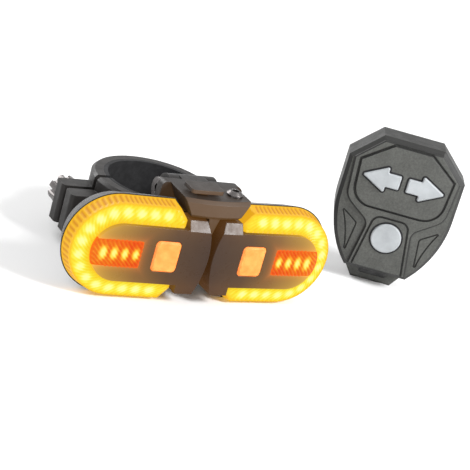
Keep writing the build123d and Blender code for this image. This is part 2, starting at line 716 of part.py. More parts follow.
plate_top = HUB_BOTTOM + HUB_HEIGHT
plate_back = PLATE_FRONT + PLATE_THICKNESS
with BuildPart() as carrier:
    # Seen from above, the hub's front is a shallow arc
    with BuildSketch(Plane.XY.offset(LENS_HALF + HUB_BOTTOM)) as hub_plan:
        with BuildLine():
            Polyline(
                (-HUB_TOP_HALF, -REACH + HUB_FRONT + HUB_CROWN),
                (-HUB_TOP_HALF, -REACH + plate_back),
                (HUB_TOP_HALF, -REACH + plate_back),
                (HUB_TOP_HALF, -REACH + HUB_FRONT + HUB_CROWN),
            )
            ThreePointArc(
                (HUB_TOP_HALF, -REACH + HUB_FRONT + HUB_CROWN),
                (0, -REACH + HUB_FRONT),
                (-HUB_TOP_HALF, -REACH + HUB_FRONT + HUB_CROWN),
            )
        make_face()
    extrude(amount=HUB_HEIGHT)
    with BuildSketch(Plane.XZ.offset(REACH)) as hub_front:
        with BuildLine():
            Polyline(
                (-HUB_BOTTOM_HALF, LENS_HALF + HUB_BOTTOM),
                (HUB_BOTTOM_HALF, LENS_HALF + HUB_BOTTOM),
                (HUB_TOP_HALF, LENS_HALF + plate_top),
                (-HUB_TOP_HALF, LENS_HALF + plate_top),
                close=True,
            )
        make_face()
    extrude(amount=-plate_back, mode=Mode.INTERSECT)
    chamfer(carrier.edges().filter_by(Axis.Y, reverse=True).group_by(Axis.Y)[0], HUB_EDGE)
    with BuildSketch(Plane.XZ.offset(REACH - PLATE_FRONT)):
        with Locations((0, LENS_HALF + (plate_top + PLATE_BOTTOM) / 2)):
            RectangleRounded(2 * PLATE_HALF, plate_top - PLATE_BOTTOM, PLATE_CORNER)
    extrude(amount=-PLATE_THICKNESS)
    # The spine fills the gap between the two blocks, from the hub down
    with BuildSketch(Plane.XZ.offset(REACH - HUB_FRONT - HUB_CROWN)):
        with BuildLine():
            Polyline(
                (-SPINE_LOW_HALF, LENS_HALF + SPINE_BOTTOM),
                (SPINE_LOW_HALF, LENS_HALF + SPINE_BOTTOM),
                (SPINE_TOP_HALF, LENS_HALF + HUB_BOTTOM),
                (-SPINE_TOP_HALF, LENS_HALF + HUB_BOTTOM),
                close=True,
            )
        make_face()
    extrude(amount=HUB_FRONT + HUB_CROWN - PLATE_FRONT)
    add(rail.part)
    mirror(rail.part, about=Plane.YZ)
    with BuildSketch(Plane.YZ.offset(-TILT_LUG_WIDTH / 2)):
        with Locations((tilt_y, tilt_z)):
            Circle(TILT_LUG_RADIUS)
        with Locations(((tilt_y - REACH + plate_back) / 2, tilt_z)):
            Rectangle(tilt_y + REACH - plate_back, 2 * TILT_LUG_RADIUS)
    extrude(amount=TILT_LUG_WIDTH)
    with BuildSketch(Plane.YZ.offset(-TILT_LUG_WIDTH / 2)):
        with Locations((tilt_y, tilt_z)):
            Circle(TILT_BOLT_RADIUS + SNUG)
    extrude(amount=TILT_LUG_WIDTH, mode=Mode.SUBTRACT)
    latch_y = -REACH + HUB_FRONT + HUB_CROWN + LATCH_SETBACK + LATCH_LENGTH / 2
    with BuildSketch(Plane.XY.offset(LENS_HALF + plate_top)):
        with Locations((LATCH_CENTRE, latch_y)):
            Rectangle(LATCH_STEM + 2 * SLIDING, LATCH_STEM + 2 * SLIDING)
    extrude(amount=-LATCH_STEM_DEPTH, mode=Mode.SUBTRACT)
    with BuildSketch(Plane.XY.offset(LENS_HALF + plate_top)):
        with Locations((HUB_SCREW_CENTRE, latch_y)):
            Circle(SHELL_SCREW_RADIUS)
    extrude(amount=-LATCH_STEM_DEPTH, mode=Mode.SUBTRACT)
keep(carrier, "carrier")

# Release key on the hub: a thin plate on a stem
with BuildPart() as release_key:
    key_bottom = LENS_HALF + plate_top + LATCH_TRAVEL
    with BuildSketch(Plane.XY.offset(key_bottom)):
        with Locations((LATCH_CENTRE, latch_y)):
            RectangleRounded(LATCH_WIDTH, LATCH_LENGTH, LATCH_CORNER)
    extrude(amount=LATCH_THICKNESS)
    with BuildSketch(Plane.XY.offset(key_bottom)):
        with Locations((LATCH_CENTRE, latch_y)):
            Rectangle(LATCH_STEM, LATCH_STEM)
    extrude(amount=SLIDING - LATCH_STEM_DEPTH)
keep(release_key, "release_key")

# Hub screw: a domed head beside the release key
with BuildPart() as hub_screw:
    with BuildSketch(Plane.XY.offset(LENS_HALF + plate_top)):
        with Locations((HUB_SCREW_CENTRE, latch_y)):
            Circle(HUB_SCREW_RADIUS)
    extrude(amount=HUB_SCREW_DOME)
    chamfer(hub_screw.edges().group_by(Axis.Z)[-1], HUB_SCREW_EDGE)
    with BuildSketch(Plane.XY.offset(LENS_HALF + plate_top)):
        with Locations((HUB_SCREW_CENTRE, latch_y)):
            Circle(SHELL_SCREW_RADIUS - SNUG)
    extrude(amount=-LATCH_STEM_DEPTH + SLIDING)
    with BuildSketch(Plane.XY.offset(LENS_HALF + plate_top + HUB_SCREW_DOME)):
        with Locations((HUB_SCREW_CENTRE, latch_y)):
            RegularPolygon(HUB_SCREW_KEY, HEX_SIDES)
    extrude(amount=-HUB_SCREW_KEY_DEPTH, mode=Mode.SUBTRACT)
keep(hub_screw, "hub_screw")

# Seat post clamp: two half rings with ears, and the front half carries the tilt fork
LINER_SEAT = POST_RADIUS + LINER_WALL
CLAMP_RADIUS = LINER_SEAT + CLAMP_WALL
ear_reach = CLAMP_RADIUS + EAR_WIDTH
ear_centre = CLAMP_RADIUS + EAR_WIDTH / 2 - 1
ear_base = (CLAMP_HEIGHT - EAR_HEIGHT) / 2


def half_ring(direction):
    """Half of the clamp's ring with its two screw ears; direction is -1 in front, 1 behind."""
    with BuildPart() as half:
        with BuildSketch():
            Circle(CLAMP_RADIUS)
        extrude(amount=CLAMP_HEIGHT)
        chamfer(half.edges(), CLAMP_EDGE)
        with BuildSketch(Plane.XY.offset(ear_base)):
            with Locations((0, direction * (CLAMP_SPLIT + EAR_THICKNESS) / 2)):
                RectangleRounded(2 * ear_reach, EAR_THICKNESS, EAR_CORNER)
        extrude(amount=EAR_HEIGHT)
        with BuildSketch():
            with Locations((0, -direction * CLAMP_RADIUS)):
                Rectangle(4 * CLAMP_RADIUS, 2 * CLAMP_RADIUS + CLAMP_SPLIT)
        extrude(amount=CLAMP_HEIGHT, mode=Mode.SUBTRACT)
        with BuildSketch(Plane.XZ.offset(CLAMP_RADIUS)):
            with Locations((-ear_centre, CLAMP_HEIGHT / 2), (ear_centre, CLAMP_HEIGHT / 2)):
                Circle(CLAMP_SCREW_RADIUS + SLIDING)
        extrude(amount=-2 * CLAMP_RADIUS, mode=Mode.SUBTRACT)
        with BuildSketch():
            Circle(LINER_SEAT)
        extrude(amount=CLAMP_HEIGHT, mode=Mode.SUBTRACT)
    return half.part


def half_liner(direction):
    """Half of the rubber sleeve between the clamp and the seat post."""
    with BuildPart() as liner:
        with BuildSketch():
            Circle(LINER_SEAT)
            Circle(POST_RADIUS, mode=Mode.SUBTRACT)
            with Locations((0, -direction * CLAMP_RADIUS)):
                Rectangle(
                    4 * CLAMP_RADIUS, 2 * CLAMP_RADIUS + CLAMP_SPLIT, mode=Mode.SUBTRACT
                )
        extrude(amount=CLAMP_HEIGHT)
    return liner.part


fork_half = TILT_LUG_WIDTH / 2 + SLIDING + TILT_EAR
nut_seat = -CLAMP_SPLIT / 2 - EAR_THICKNESS
with BuildPart() as clamp_front:
    add(half_ring(-1))
    # The fork grows out of the ring's front and ends round the tilt bolt
    with BuildSketch(Plane.YZ.offset(-fork_half)) as fork_side:
        with BuildLine():
            fork_back = -POST_RADIUS
            Polyline(
                (tilt_y - TILT_LUG_RADIUS, tilt_z),
                (tilt_y - TILT_LUG_RADIUS, CLAMP_HEIGHT / 2),
                (fork_back, EAR_THICKNESS / 2),
                (fork_back, CLAMP_HEIGHT - 1),
                (tilt_y + TILT_LUG_RADIUS, tilt_z),
            )
            ThreePointArc(
                (tilt_y + TILT_LUG_RADIUS, tilt_z),
                (tilt_y, tilt_z + TILT_LUG_RADIUS),
                (tilt_y - TILT_LUG_RADIUS, tilt_z),
            )
        make_face()
    extrude(amount=2 * fork_half)
    # The gap between the ears, round the carrier's lug
    with BuildSketch(Plane.YZ.offset(-TILT_LUG_WIDTH / 2 - SLIDING)):
        with Locations((tilt_y, tilt_z)):
            Circle(TILT_LUG_RADIUS + LOOSE)
        with Locations((tilt_y - TILT_LUG_RADIUS, tilt_z)):
            Rectangle(2 * TILT_LUG_RADIUS, 2 * TILT_LUG_RADIUS + 2 * LOOSE)
        with Locations((tilt_y, tilt_z + TILT_LUG_RADIUS)):
            Rectangle(4 * TILT_LUG_RADIUS, 2 * TILT_LUG_RADIUS)
    extrude(amount=TILT_LUG_WIDTH + 2 * SLIDING, mode=Mode.SUBTRACT)
    with BuildSketch(Plane.YZ.offset(-fork_half)):
        with Locations((tilt_y, tilt_z)):
            Circle(TILT_BOLT_RADIUS + SNUG)
    extrude(amount=2 * fork_half, mode=Mode.SUBTRACT)
    with BuildSketch():
        Circle(LINER_SEAT)
    extrude(amount=CLAMP_HEIGHT, mode=Mode.SUBTRACT)
    with BuildSketch(Plane.XZ.offset(-nut_seat)):
        with Locations((-ear_centre, CLAMP_HEIGHT / 2), (ear_centre, CLAMP_HEIGHT / 2)):
            RegularPolygon(CLAMP_NUT_RADIUS, HEX_SIDES)
    extrude(amount=-CLAMP_NUT_THICKNESS, mode=Mode.SUBTRACT)
keep(clamp_front, "clamp_front")

with BuildPart() as clamp_nuts:
    with BuildSketch(Plane.XZ.offset(-nut_seat)):
        with Locations((-ear_centre, CLAMP_HEIGHT / 2), (ear_centre, CLAMP_HEIGHT / 2)):
            RegularPolygon(CLAMP_NUT_RADIUS, HEX_SIDES)
            Circle(CLAMP_SCREW_RADIUS + SNUG, mode=Mode.SUBTRACT)
    extrude(amount=-CLAMP_NUT_THICKNESS)
keep(clamp_nuts, "clamp_nuts")

with BuildPart() as clamp_rear:
    add(half_ring(1))
keep(clamp_rear, "clamp_rear")

for liner_name, liner_side in (("liner_front", -1), ("liner_rear", 1)):
    with BuildPart() as liner_half:
        add(half_liner(liner_side))
    keep(liner_half, liner_name)

# Clamp screws: scalloped thumb screws through the rear ears into the nuts of the front ones
ear_back = CLAMP_SPLIT / 2 + EAR_THICKNESS
for screw_name, screw_side in (("left_clamp_screw", -1), ("right_clamp_screw", 1)):
    with BuildPart() as clamp_screw:
        with BuildSketch(Plane.XZ.offset(-ear_back)) as scalloped_head:
            with Locations((screw_side * ear_centre, CLAMP_HEIGHT / 2)):
                Circle(CLAMP_SCREW_HEAD_RADIUS)
                with PolarLocations(CLAMP_SCREW_HEAD_RADIUS, CLAMP_SCREW_LOBES):
                    Circle(CLAMP_SCREW_SCALLOP, mode=Mode.SUBTRACT)
        extrude(amount=-CLAMP_SCREW_HEAD_HEIGHT)
        with BuildSketch(Plane.XZ.offset(-ear_back)):
            with Locations((screw_side * ear_centre, CLAMP_HEIGHT / 2)):
                Circle(CLAMP_SCREW_RADIUS)
        extrude(amount=ear_back - nut_seat - CLAMP_SCREW_SHORT)
        with BuildSketch(Plane.XZ.offset(-ear_back - CLAMP_SCREW_HEAD_HEIGHT)):
            with Locations((screw_side * ear_centre, CLAMP_HEIGHT / 2)):
                Rectangle(2 * CLAMP_SCREW_HEAD_RADIUS, CLAMP_SCREW_SLOT)
        extrude(amount=CLAMP_SCREW_SLOT, mode=Mode.SUBTRACT)
    keep(clamp_screw, screw_name)

# Tilt bolt: a socket head bolt through the fork and the lug, with a nut on its far end
with BuildPart() as tilt_bolt:
    with BuildSketch(Plane.YZ.offset(-fork_half)):
        with Locations((tilt_y, tilt_z)):
            Circle(TILT_HEAD_RADIUS)
    extrude(amount=-TILT_HEAD_HEIGHT)
    with BuildSketch(Plane.YZ.offset(-fork_half)):
        with Locations((tilt_y, tilt_z)):
            Circle(TILT_BOLT_RADIUS)
    extrude(amount=2 * fork_half + TILT_NUT_THICKNESS + 1)
    with BuildSketch(Plane.YZ.offset(-fork_half - TILT_HEAD_HEIGHT)):
        with Locations((tilt_y, tilt_z)):
            RegularPolygon(TILT_KEY, HEX_SIDES)
    extrude(amount=TILT_KEY_DEPTH, mode=Mode.SUBTRACT)
keep(tilt_bolt, "tilt_bolt")

with BuildPart() as tilt_nut:
    with BuildSketch(Plane.YZ.offset(fork_half)):
        with Locations((tilt_y, tilt_z)):
            RegularPolygon(TILT_HEAD_RADIUS, HEX_SIDES)
            Circle(TILT_BOLT_RADIUS, mode=Mode.SUBTRACT)
    extrude(amount=TILT_NUT_THICKNESS)
keep(tilt_nut, "tilt_nut")

# Remote. Heights below count down from its top, as drops.
shoulder_half = REMOTE_WIDTH / 2
corner_height = REMOTE_HEIGHT - REMOTE_CORNER


with BuildSketch() as remote_outline:
    with BuildLine():
        Polyline(
            (-shoulder_half, REMOTE_SHOULDER),
            (-shoulder_half, corner_height),
            (-REMOTE_TOP_HALF, REMOTE_HEIGHT),
            (REMOTE_TOP_HALF, REMOTE_HEIGHT),
            (shoulder_half, corner_height),
            (shoulder_half, REMOTE_SHOULDER),
        )
        for side in (1, -1):
            TangentArc(
                (side * shoulder_half, REMOTE_SHOULDER),
                (side * REMOTE_FOOT_HALF, REMOTE_TAB),
                tangent=(0, -1),
            )
        Line((REMOTE_FOOT_HALF, REMOTE_TAB), (-REMOTE_FOOT_HALF, REMOTE_TAB))
    make_face()

# The raised top panel has the body's corners, drawn in, and round lower corners
panel_foot = REMOTE_HEIGHT - PANEL_DROP
edge_inset = shoulder_half - PANEL_HALF
with BuildSketch() as panel_outline:
    with BuildLine():
        Polyline(
            (-PANEL_FOOT_HALF, panel_foot),
            (-PANEL_HALF, corner_height),
            (-REMOTE_TOP_HALF + edge_inset, REMOTE_HEIGHT - edge_inset / 2),
            (REMOTE_TOP_HALF - edge_inset, REMOTE_HEIGHT - edge_inset / 2),
            (PANEL_HALF, corner_height),
            (PANEL_FOOT_HALF, panel_foot),
            close=True,
        )
    make_face()
    fillet(panel_outline.vertices().group_by(Axis.Y)[0], PANEL_CORNER)

with BuildSketch() as centre_panel:
    with BuildLine():
        Polyline(
            (-CENTRE_PANEL_TOP_HALF, REMOTE_HEIGHT - CENTRE_PANEL_DROP),
            (CENTRE_PANEL_TOP_HALF, REMOTE_HEIGHT - CENTRE_PANEL_DROP),
            (CENTRE_PANEL_FOOT_HALF, REMOTE_HEIGHT - CENTRE_PANEL_FOOT_DROP),
            (-CENTRE_PANEL_FOOT_HALF, REMOTE_HEIGHT - CENTRE_PANEL_FOOT_DROP),
            close=True,
        )
    make_face()
    fillet(centre_panel.vertices().group_by(Axis.Y)[-1], CENTRE_PANEL_CORNER)


def arrow(side, grow=0):
    """A direction arrow that points away from the remote's middle, grown all round."""
    arrow_y = REMOTE_HEIGHT - ARROW_DROP
    base = ARROW_GAP / 2
    neck = base + ARROW_LENGTH - ARROW_HEAD
    tip = base + ARROW_LENGTH
    with BuildSketch() as shape:
        with BuildLine():
            Polyline(
                (side * base, arrow_y - ARROW_SHAFT_HEIGHT / 2),
                (side * neck, arrow_y - ARROW_SHAFT_HEIGHT / 2),
                (side * neck, arrow_y - ARROW_HEAD_HEIGHT / 2),
                (side * tip, arrow_y),
                (side * neck, arrow_y + ARROW_HEAD_HEIGHT / 2),
                (side * neck, arrow_y + ARROW_SHAFT_HEIGHT / 2),
                (side * base, arrow_y + ARROW_SHAFT_HEIGHT / 2),
                close=True,
            )
        make_face()
        fillet(shape.vertices(), ARROW_CORNER)
        if grow:
            offset(amount=grow, kind=Kind.INTERSECTION, mode=Mode.REPLACE)
    return shape.sketch


def power_disc(grow=0):
    """The round key below the arrows, grown by the same radius."""
    with BuildSketch() as shape:
        with Locations((0, REMOTE_HEIGHT - POWER_DROP)):
            Circle(POWER_RADIUS + grow)
    return shape.sketch


key_shapes = {
    "left_arrow_key": lambda grow=0: arrow(-1, grow),
    "right_arrow_key": lambda grow=0: arrow(1, grow),
    "power_key": power_disc,
}
remote_bosses = [
    (-REMOTE_BOSS_HALF, corner_height),
    (REMOTE_BOSS_HALF, corner_height),
    (-REMOTE_FOOT_BOSS_HALF, REMOTE_FOOT_BOSS_RISE),
    (REMOTE_FOOT_BOSS_HALF, REMOTE_FOOT_BOSS_RISE),
]
door_rise = REMOTE_HEIGHT - DOOR_DROP
door_front = REMOTE_DEPTH - DOOR_THICKNESS
mat_depth = REMOTE_FACE_WALL + SLIDING + KEY_LIP_THICKNESS + KEY_TRAVEL + SNUG
remote_board_depth = mat_depth + MAT_THICKNESS
cell_depth = door_front - CELL_THICKNESS

# Ridge: the raised part of the face, wide round the panel and narrow beside the centre one
with BuildSketch() as ridge_outline:
    with BuildLine():
        ridge_bend = REMOTE_HEIGHT - RIDGE_BEND_DROP
        ridge_neck = REMOTE_HEIGHT - RIDGE_NECK_DROP
        ridge_side = Polyline(
            (0, REMOTE_HEIGHT),
            (REMOTE_TOP_HALF, REMOTE_HEIGHT),
            (RIDGE_TOP_HALF, corner_height),
            (RIDGE_BEND_HALF, ridge_bend),
            (RIDGE_NECK_HALF, ridge_neck),
            (RIDGE_FOOT_HALF, REMOTE_TAB),
            (0, REMOTE_TAB),
        )
        mirror(ridge_side, about=Plane.YZ)
    make_face()
    for ridge_height, ridge_radius in ((ridge_bend, RIDGE_BEND_RADIUS), (ridge_neck, RIDGE_NECK_RADIUS)):
        bends = [corner for corner in ridge_outline.vertices() if abs(corner.Y - ridge_height) < SNUG]
        fillet(bends, ridge_radius)
    add(inside(remote_outline, REMOTE_EDGE), mode=Mode.INTERSECT)

# Cheeks: a three-cornered panel outlined by a groove in each lower side of the face
with BuildSketch() as cheek_outline:
    with BuildLine():
        cheek_top = (CHEEK_TOP_HALF, REMOTE_HEIGHT - CHEEK_TOP_DROP)
        cheek_neck = (CHEEK_NECK_HALF, REMOTE_HEIGHT - CHEEK_NECK_DROP)
        cheek_tip = (CHEEK_TIP_HALF, REMOTE_HEIGHT - CHEEK_TIP_DROP)
        Polyline(cheek_top, cheek_neck, cheek_tip)
        SagittaArc(cheek_tip, cheek_top, CHEEK_BULGE)
    make_face()
    fillet(cheek_outline.vertices().sort_by(Axis.X)[0], CHEEK_NECK_RADIUS)

remote_depths = Axis(remote_front.origin, remote_front.z_dir)
with BuildPart() as remote_top_shell:
    with BuildSketch(into_remote(RIDGE_HEIGHT)):
        add(remote_outline.sketch)
    extrude(amount=RIDGE_HEIGHT - TOP_SHELL_DEPTH)
    chamfer(remote_top_shell.edges().group_by(remote_depths)[-1], REMOTE_EDGE)
    with BuildSketch(into_remote(RIDGE_HEIGHT)):
        add(ridge_outline.sketch)
    extrude(amount=RIDGE_HEIGHT)
    chamfer(remote_top_shell.edges().group_by(remote_depths)[-1], RIDGE_EDGE)
    with BuildSketch(remote_front):
        add(panel_outline.sketch)
    extrude(amount=PANEL_RAISE)
    chamfer(remote_top_shell.edges().group_by(remote_depths)[-1], PANEL_RAISE / 2)
    with BuildSketch(remote_front):
        add(inside(panel_outline, -GROOVE))
        add(panel_outline.sketch, mode=Mode.SUBTRACT)
        add(inside(centre_panel, -GROOVE))
        add(centre_panel.sketch, mode=Mode.SUBTRACT)
    extrude(amount=-GROOVE_DEPTH, mode=Mode.SUBTRACT)
    with BuildSketch(into_remote(RIDGE_HEIGHT)):
        add(cheek_outline.sketch)
        offset(amount=CHEEK_GROOVE, mode=Mode.REPLACE)
        add(cheek_outline.sketch, mode=Mode.SUBTRACT)
        mirror(about=Plane.YZ)
    extrude(amount=-CHEEK_GROOVE_DEPTH, mode=Mode.SUBTRACT)
    with BuildSketch(into_remote(REMOTE_FACE_WALL)):
        add(inside(remote_outline, REMOTE_WALL))
    extrude(amount=REMOTE_FACE_WALL - TOP_SHELL_DEPTH, mode=Mode.SUBTRACT)
    with BuildSketch(into_remote(REMOTE_FACE_WALL)):
        with Locations(*remote_bosses):
            Circle(REMOTE_BOSS_RADIUS)
            Circle(SHELL_SCREW_RADIUS, mode=Mode.SUBTRACT)
    extrude(amount=REMOTE_FACE_WALL - TOP_SHELL_DEPTH)
    with BuildSketch(into_remote(-PANEL_RAISE)):
        for key_shape in key_shapes.values():
            add(key_shape(SLIDING))
    extrude(amount=-PANEL_RAISE - REMOTE_FACE_WALL, mode=Mode.SUBTRACT)
keep(remote_top_shell, "remote_top_shell")

with BuildPart() as remote_bottom_shell:
    with BuildSketch(into_remote(TOP_SHELL_DEPTH)):
        add(remote_outline.sketch)
    extrude(amount=TOP_SHELL_DEPTH - REMOTE_DEPTH)
    chamfer(remote_bottom_shell.edges().group_by(remote_depths)[0], REMOTE_BACK_EDGE)
    with BuildSketch(into_remote(TAB_FRONT)):
        with BuildLine():
            Polyline(
                (-REMOTE_FOOT_HALF, REMOTE_TAB),
                (-TAB_HALF, 0),
                (TAB_HALF, 0),
                (REMOTE_FOOT_HALF, REMOTE_TAB),
                (0, REMOTE_SHOULDER),
                close=True,
            )
        make_face()
        with Locations((0, TAB_SLOT_RISE)):
            RectangleRounded(TAB_SLOT_WIDTH, TAB_SLOT_HEIGHT, TAB_SLOT_CORNER, mode=Mode.SUBTRACT)
    extrude(amount=TAB_FRONT - REMOTE_DEPTH)
    with BuildSketch(into_remote(TOP_SHELL_DEPTH)):
        add(inside(remote_outline, REMOTE_WALL))
    extrude(amount=TOP_SHELL_DEPTH - REMOTE_DEPTH + REMOTE_WALL, mode=Mode.SUBTRACT)
    with BuildSketch(into_remote(CELL_COLLAR_DEPTH)):
        with Locations((0, door_rise)):
            Circle(DOOR_RADIUS + CELL_COLLAR_WALL)
    extrude(amount=CELL_COLLAR_DEPTH - REMOTE_DEPTH)
    with BuildSketch(into_remote(CELL_COLLAR_DEPTH)):
        with Locations((0, door_rise)):
            Circle(CELL_RADIUS + LOOSE)
    extrude(amount=CELL_COLLAR_DEPTH - REMOTE_DEPTH, mode=Mode.SUBTRACT)
    with BuildSketch(into_remote(door_front)):
        with Locations((0, door_rise)):
            Circle(DOOR_RADIUS + SNUG)
    extrude(amount=-DOOR_THICKNESS, mode=Mode.SUBTRACT)
    with BuildSketch(into_remote(TOP_SHELL_DEPTH)):
        with Locations(*remote_bosses):
            Circle(REMOTE_BOSS_RADIUS)
    extrude(amount=TOP_SHELL_DEPTH - REMOTE_DEPTH + REMOTE_WALL)
    with Locations(into_remote(REMOTE_DEPTH)):
        with Locations(*[Location((x, y, 0), (180, 0, 0)) for x, y in remote_bosses]):
            CounterBoreHole(
                SHELL_SCREW_RADIUS + SNUG,
                SHELL_SCREW_HEAD + SLIDING,
                SHELL_SCREW_HEAD_HEIGHT,
                depth=REMOTE_DEPTH - TOP_SHELL_DEPTH,
            )
keep(remote_bottom_shell, "remote_bottom_shell")

with BuildPart() as remote_screws:
    with BuildSketch(into_remote(REMOTE_DEPTH)):
        with Locations(*remote_bosses):
            Circle(SHELL_SCREW_HEAD)
    extrude(amount=SHELL_SCREW_HEAD_HEIGHT)
    with BuildSketch(into_remote(REMOTE_DEPTH - SHELL_SCREW_HEAD_HEIGHT)):
        with Locations(*remote_bosses):
            Circle(SHELL_SCREW_RADIUS)
    extrude(amount=REMOTE_DEPTH - SHELL_SCREW_HEAD_HEIGHT - TOP_SHELL_DEPTH + SHELL_SCREW_GRIP)
keep(remote_screws, "remote_screws")

# Keys: each is a cap with a lip that keeps it under the top shell
for key_name, key_shape in key_shapes.items():
    key_front = PANEL_RAISE + KEY_PROUD if key_name != "power_key" else KEY_PROUD
    with BuildPart() as remote_key:
        with BuildSketch(into_remote(-key_front)):
            add(key_shape())
        extrude(amount=-key_front - REMOTE_FACE_WALL - SLIDING)
        chamfer(remote_key.edges().group_by(remote_depths)[-1], KEY_EDGE)
        with BuildSketch(into_remote(REMOTE_FACE_WALL + SLIDING)):
            add(key_shape(SLIDING + KEY_LIP / 2))
        extrude(amount=-KEY_LIP_THICKNESS)
    keep(remote_key, f"remote_{key_name}")

for plate_name, plate_depth, plate_thickness in (
    ("remote_keypad_mat", mat_depth, MAT_THICKNESS),
    ("remote_circuit_board", remote_board_depth, REMOTE_BOARD_THICKNESS),
):
    with BuildPart() as remote_plate:
        with BuildSketch(into_remote(plate_depth)):
            add(inside(remote_outline, REMOTE_WALL + LOOSE))
            with Locations(*remote_bosses):
                Circle(REMOTE_BOSS_RADIUS + SLIDING, mode=Mode.SUBTRACT)
        extrude(amount=-plate_thickness)
    keep(remote_plate, plate_name)

with BuildPart() as remote_cell_contacts:
    with BuildSketch(into_remote(remote_board_depth + REMOTE_BOARD_THICKNESS)):
        with Locations((-CONTACT_SPREAD, door_rise), (CONTACT_SPREAD, door_rise)):
            Circle(CONTACT_RADIUS)
    extrude(amount=remote_board_depth + REMOTE_BOARD_THICKNESS - cell_depth)
keep(remote_cell_contacts, "remote_cell_contacts")

with BuildPart() as remote_coin_cell:
    with BuildSketch(into_remote(cell_depth)):
        with Locations((0, door_rise)):
            Circle(CELL_RADIUS)
    extrude(amount=-CELL_THICKNESS)
    chamfer(remote_coin_cell.edges(), CELL_EDGE)
keep(remote_coin_cell, "remote_coin_cell")

with BuildPart() as remote_battery_door:
    with BuildSketch(into_remote(door_front)):
        with Locations((0, door_rise)):
            Circle(DOOR_RADIUS)
    extrude(amount=-DOOR_THICKNESS)
    with BuildSketch(into_remote(REMOTE_DEPTH)):
        with Locations((0, door_rise)):
            SlotOverall(COIN_SLOT_LENGTH, COIN_SLOT_WIDTH)
    extrude(amount=COIN_SLOT_DEPTH, mode=Mode.SUBTRACT)
keep(remote_battery_door, "remote_battery_door")

# Handlebar pad: a rubber block on the remote's back, hollowed to the bar's radius
with BuildPart() as remote_handlebar_pad:
    with BuildSketch(into_remote(REMOTE_DEPTH)):
        with Locations((0, PAD_RISE)):
            RectangleRounded(PAD_WIDTH, PAD_HEIGHT, PAD_CORNER)
    extrude(amount=-PAD_THICKNESS)
    bar_depth = REMOTE_DEPTH + PAD_HOLLOW + HANDLEBAR_RADIUS
    pad_side = Plane(
        origin=into_remote(bar_depth).from_local_coords((-PAD_WIDTH / 2, PAD_RISE, 0)),
        x_dir=remote_front.y_dir,
        z_dir=remote_front.x_dir,
    )
    with BuildSketch(pad_side):
        Circle(HANDLEBAR_RADIUS)
    extrude(amount=PAD_WIDTH, mode=Mode.SUBTRACT)
keep(remote_handlebar_pad, "remote_handlebar_pad")
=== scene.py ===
import json
import math

import bmesh
import bpy
from mathutils import Matrix, Vector
from mathutils.bvhtree import BVHTree


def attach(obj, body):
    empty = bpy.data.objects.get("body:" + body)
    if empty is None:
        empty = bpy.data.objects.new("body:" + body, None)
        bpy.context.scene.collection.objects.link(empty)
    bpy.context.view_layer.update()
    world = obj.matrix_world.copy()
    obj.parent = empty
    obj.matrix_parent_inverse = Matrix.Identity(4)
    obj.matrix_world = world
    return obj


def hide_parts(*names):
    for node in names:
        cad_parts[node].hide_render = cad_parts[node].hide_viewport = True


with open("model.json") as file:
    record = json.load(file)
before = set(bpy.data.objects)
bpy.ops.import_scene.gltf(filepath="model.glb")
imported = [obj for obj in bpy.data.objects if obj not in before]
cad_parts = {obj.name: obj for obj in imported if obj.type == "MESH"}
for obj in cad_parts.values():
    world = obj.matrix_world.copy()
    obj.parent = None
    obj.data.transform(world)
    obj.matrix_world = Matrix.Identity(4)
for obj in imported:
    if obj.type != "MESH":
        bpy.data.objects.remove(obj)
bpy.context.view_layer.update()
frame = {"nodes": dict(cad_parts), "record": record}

# Bicycle turn signal light with its handlebar remote. Metres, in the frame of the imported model:
# +Z up, the lights face -Y, the seat post's axis is Z. MM turns a length in millimetres into metres.
MM = 0.001

# Driving sizes of a light, repeated from the model, in millimetres and radians. The lens's front is
# flat over DOME_FLAT from its middle line, then falls slowly to MIDDLE_INSET and faster to its shoulder.
LENS_HALF = 15.85
LENS_START = 8.36
ROUND_CENTRE = 28.8
END_CHAMFER = 3.7
BLOCK_HALF = 11.8
RIM_STEP = 0.35
TONGUE_HALF = 9.16
WINDOW_START = 22.26
WINDOW_HALF = 4.24
CROWN = 1.0
DOME_FLAT = 6
MIDDLE_INSET = 5
MIDDLE_DROP = 0.5
SHOULDER_INSET = 0.9
SHOULDER_DROP = 1.7
RIM_DEPTH = 7.45
SWEEP = math.radians(2.5)
APEX = 0.8
REACH = 46
MIDDLE_HEIGHT = 16.2

# The rows of LEDs behind the lens, in millimetres
LED_ROW = 12.3
LED_PITCH = 4.4
LEDS_IN_STRAIGHT = 3
LED_TURN = math.radians(20)
RED_LED_CENTRE = 29.2
RED_LED_PITCH = 3.5
RED_LED_COUNT = 4

# Driving sizes of the remote, repeated from the model, in millimetres and radians, and the ways its
# face looks and runs
REMOTE_MIDDLE = Vector((76, -26, 0))
REMOTE_YAW = math.radians(-30)
REMOTE_FRONT = Vector((math.sin(REMOTE_YAW), -math.cos(REMOTE_YAW), 0))
REMOTE_RIGHT = Vector((math.cos(REMOTE_YAW), math.sin(REMOTE_YAW), 0))
ARROW_LENGTH = 12.9
ARROW_HEAD = 8.4
ARROW_HEAD_HALF = 4.6
ARROW_SHAFT_HALF = 2.45
ARROW_GAP = 2.5
ARROW_HEIGHT = 38.6
ARROW_CORNER = 0.5
POWER_RADIUS = 5.1
POWER_HEIGHT = 18.7


def light_point(side, out, up, depth):
    """A point of a light in the frame: out from its inner end, up from its middle, back from its face."""
    x = APEX + out * math.cos(SWEEP) - depth * math.sin(SWEEP)
    y = -REACH + out * math.sin(SWEEP) + depth * math.cos(SWEEP)
    return Vector((side * x, y, MIDDLE_HEIGHT + up)) * MM


